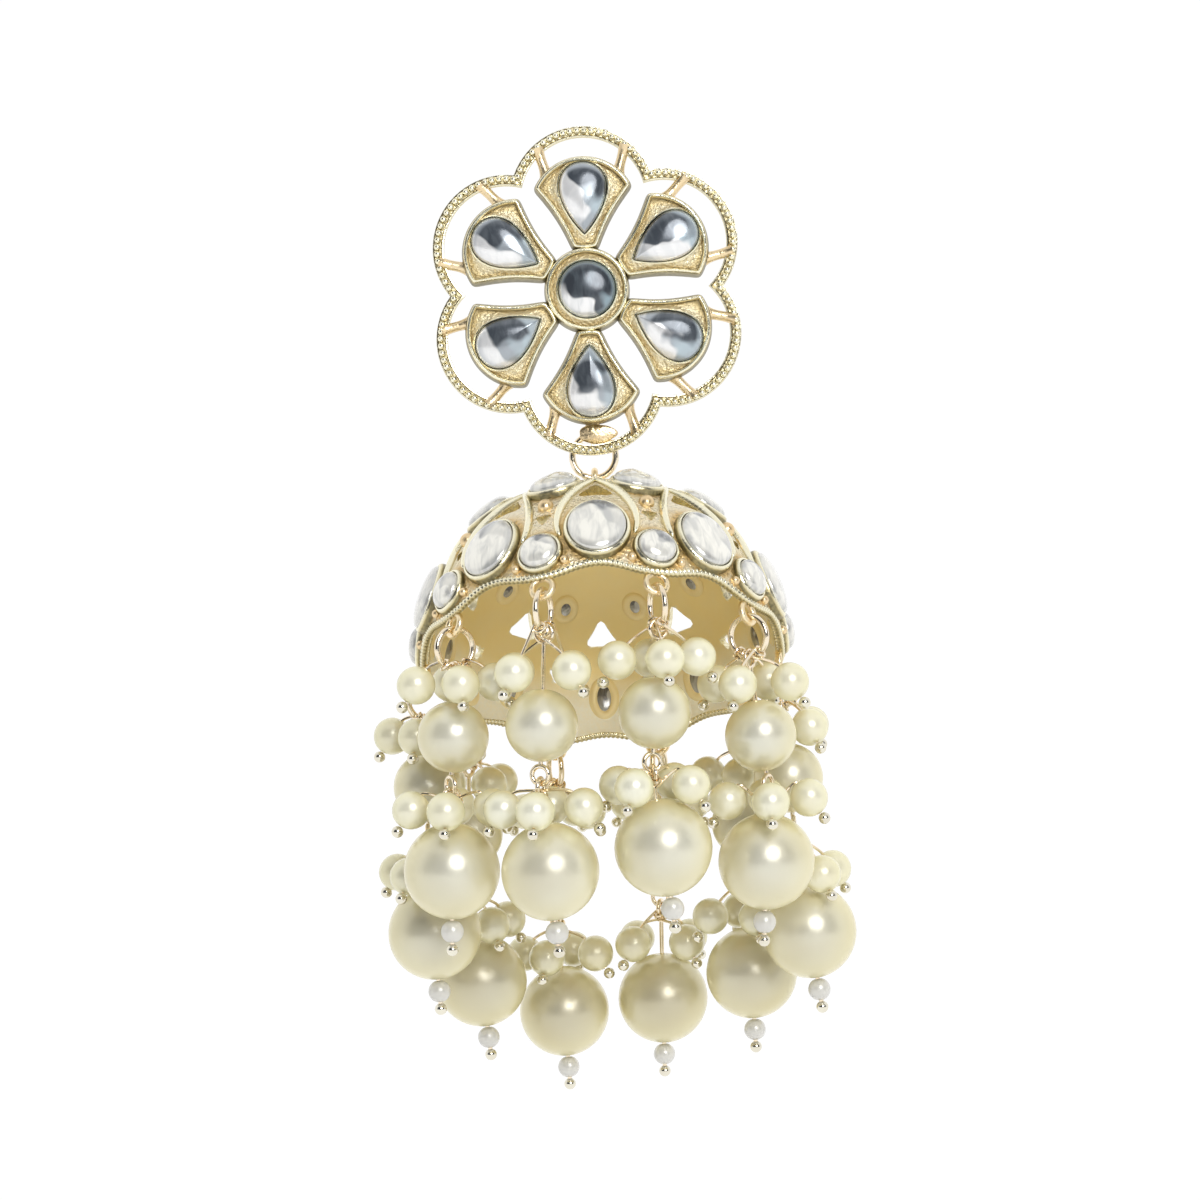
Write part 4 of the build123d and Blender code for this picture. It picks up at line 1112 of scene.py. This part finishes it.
ring_line, ring_lift = curled_pins(jump_rings, ring_side, JUMP_RADIUS, JUMP_WIRE, upper_pearls, upper_pins,
                                   RING_HOOK_TURNS)
loop_line, loop_lift = curled_pins(head_loops, ring_side, LOOP_RADIUS, PIN_WIRE, lower_pearls, lower_pins,
                                   LOOP_HOOK_TURNS)
eye_pins = straight(top_loops + lean_1 * LOOP_RADIUS, foot_loops - lean_1 * LOOP_RADIUS)
head_pins = straight(head_loops + lean_2 * LOOP_RADIUS, pin_heads)
wires = [
    wire_ring(jump_rings, ring_normal, JUMP_RADIUS, JUMP_WIRE, 48, 12, seam=0.3),
    wire_ring(top_loops, ring_side, LOOP_RADIUS, PIN_WIRE, 30, 10),
    wire_ring(foot_loops, ring_side, LOOP_RADIUS, PIN_WIRE, 30, 10),
    wire_ring(head_loops, ring_normal, LOOP_RADIUS, PIN_WIRE, 30, 10),
    tube(eye_pins, PIN_WIRE - 0.02, (0, 1, 0)),
    tube(head_pins, PIN_WIRE - 0.02, (0, 1, 0)),
    tube(ring_line, SMALL_WIRE, ring_lift, 8),
    tube(loop_line, SMALL_WIRE, loop_lift, 8),
]
lay("strand_wire", [{"points": part} for part in wires], [wire_gold], "drop",
    [f"strand_wires_{number}" for number in numbers])
head_gold = gold("head_gold", (0.70, 0.64, 0.52), (0.30, 0.25, 0.18), 0.1, 0.1)
head_at = np.concatenate([pin_heads, small_at + small_pins * (SMALL_RADIUS + GAP + SMALL_HEAD_RADIUS)])
head_size = np.append(np.full(10, PIN_HEAD_RADIUS), np.full(80, SMALL_HEAD_RADIUS))
lay("pin_heads", [{"points": balls(head_at, head_size, 12, 18)}], [head_gold], "drop")


# ---------------------------------------------------------------------------------------------------
# Stage: a white sweep of card below and behind, a wide round lamp up to the right of the camera, a
# room that is white but for a dark side behind the camera, and the camera level with the earring.
# ---------------------------------------------------------------------------------------------------
FLOOR_LEVEL = -0.125
CAMERA_PLACE = (0.0, -0.329, -0.0339)
CAMERA_ROLL = 2.4
CARD_GLOW, GLOW_STRENGTH = 0.92, 1.06
DARK_SIDE = (0.07, 0.075, 0.085, 1)
ROOM_STRENGTH = 0.91
KEY_AIM = (0.0, 0.0, -0.035)
KEY_TURN, KEY_RISE = np.radians(15), np.radians(22)
KEY_DISTANCE, KEY_SIZE, KEY_ENERGY = 0.9, 0.5, 4.3


def sweep_of_card():
    """White card: a flat floor, a quarter circle of radius 0.25, then a wall; the same line across x."""
    bend = np.linspace(0, np.pi / 2, 14)
    depth = np.concatenate([[-1.6], 0.35 + 0.25 * np.sin(bend), [0.6]])
    level = FLOOR_LEVEL + np.concatenate([[0.0], 0.25 * (1 - np.cos(bend)), [1.8]])
    across = np.linspace(-1.6, 1.6, 9)
    points = np.stack(np.broadcast_arrays(across[None, :], depth[:, None], level[:, None]), axis=-1)
    rows, columns = points.shape[:2]
    corner = np.arange(rows * columns).reshape(rows, columns)
    quads = np.stack([corner[:-1, :-1], corner[:-1, 1:], corner[1:, 1:], corner[1:, :-1]], axis=-1)
    mesh = bpy.data.meshes.new("card")
    mesh.from_pydata(points.reshape(-1, 3).tolist(), [], quads.reshape(-1, 4).tolist())
    mesh.shade_smooth()
    return mesh


card_white = bpy.data.materials.new("card_white")
card_white.use_nodes = True
card_tree = card_white.node_tree
card_shader = card_tree.nodes["Principled BSDF"]
card_shader.inputs["Base Color"].default_value = (0.9, 0.9, 0.9, 1)
card_shader.inputs["Roughness"].default_value = 0.9
paths = add(card_tree, "LightPath")
seen = paths.outputs["Is Camera Ray"]
for ray in ("Is Glossy Ray", "Is Transmission Ray"):
    seen = add(card_tree, "Math", {0: seen, 1: paths.outputs[ray]}, operation="MAXIMUM").outputs[0]
seen = add(card_tree, "Math", {0: seen, 1: CARD_GLOW}, operation="MULTIPLY").outputs[0]
glow = add(card_tree, "Emission", {"Color": (1, 1, 1, 1), "Strength": GLOW_STRENGTH})
blend = add(card_tree, "MixShader", {0: seen, 1: card_shader.outputs[0], 2: glow.outputs[0]})
card_tree.links.new(blend.outputs[0], card_tree.nodes["Material Output"].inputs["Surface"])
card = bpy.data.objects.new("card", sweep_of_card())
card.data.materials.append(card_white)
bpy.context.scene.collection.objects.link(card)

world = bpy.data.worlds.new("room")
bpy.context.scene.world = world
world.use_nodes = True
room = world.node_tree
towards = add(room, "SeparateXYZ", {0: add(room, "TexCoord").outputs["Generated"]})
seen_past = add(room, "LightPath").outputs["Is Camera Ray"]
dark = add(room, "Math", {0: 1.0, 1: seen_past}, operation="SUBTRACT").outputs[0]
for axis, light_end, dark_end in ((1, -0.15, -0.5), (2, -0.22, -0.06), (2, 0.88, 0.6)):
    fade = {"Value": towards.outputs[axis], "From Min": light_end, "From Max": dark_end}
    fade = add(room, "MapRange", fade, interpolation_type="SMOOTHSTEP").outputs[0]
    dark = add(room, "Math", {0: dark, 1: fade}, operation="MULTIPLY").outputs[0]
room.links.new(mixed(room, dark, (1, 1, 1, 1), DARK_SIDE), room.nodes["Background"].inputs["Color"])
room.nodes["Background"].inputs["Strength"].default_value = ROOM_STRENGTH

key = bpy.data.lights.new("key", "AREA")
key.shape = "DISK"
key.size = KEY_SIZE
key.energy = KEY_ENERGY
key_lamp = bpy.data.objects.new("key", key)
from_aim = KEY_DISTANCE * Vector((np.sin(KEY_TURN) * np.cos(KEY_RISE), -np.cos(KEY_TURN) * np.cos(KEY_RISE),
                                  np.sin(KEY_RISE)))
key_lamp.location = Vector(KEY_AIM) + from_aim
key_lamp.rotation_euler = (-from_aim).to_track_quat("-Z", "Y").to_euler()
bpy.context.scene.collection.objects.link(key_lamp)

camera = bpy.data.cameras.new("camera")
camera.lens = 90
camera.sensor_width = 36
camera.clip_start, camera.clip_end = 0.01, 20
camera_object = bpy.data.objects.new("camera", camera)
camera_object.location = CAMERA_PLACE
camera_object.rotation_mode = "XYZ"
camera_object.rotation_euler = (np.radians(90), np.radians(CAMERA_ROLL), 0)
bpy.context.scene.collection.objects.link(camera_object)
bpy.context.scene.camera = camera_object
bpy.context.scene.view_settings.view_transform = "Standard"
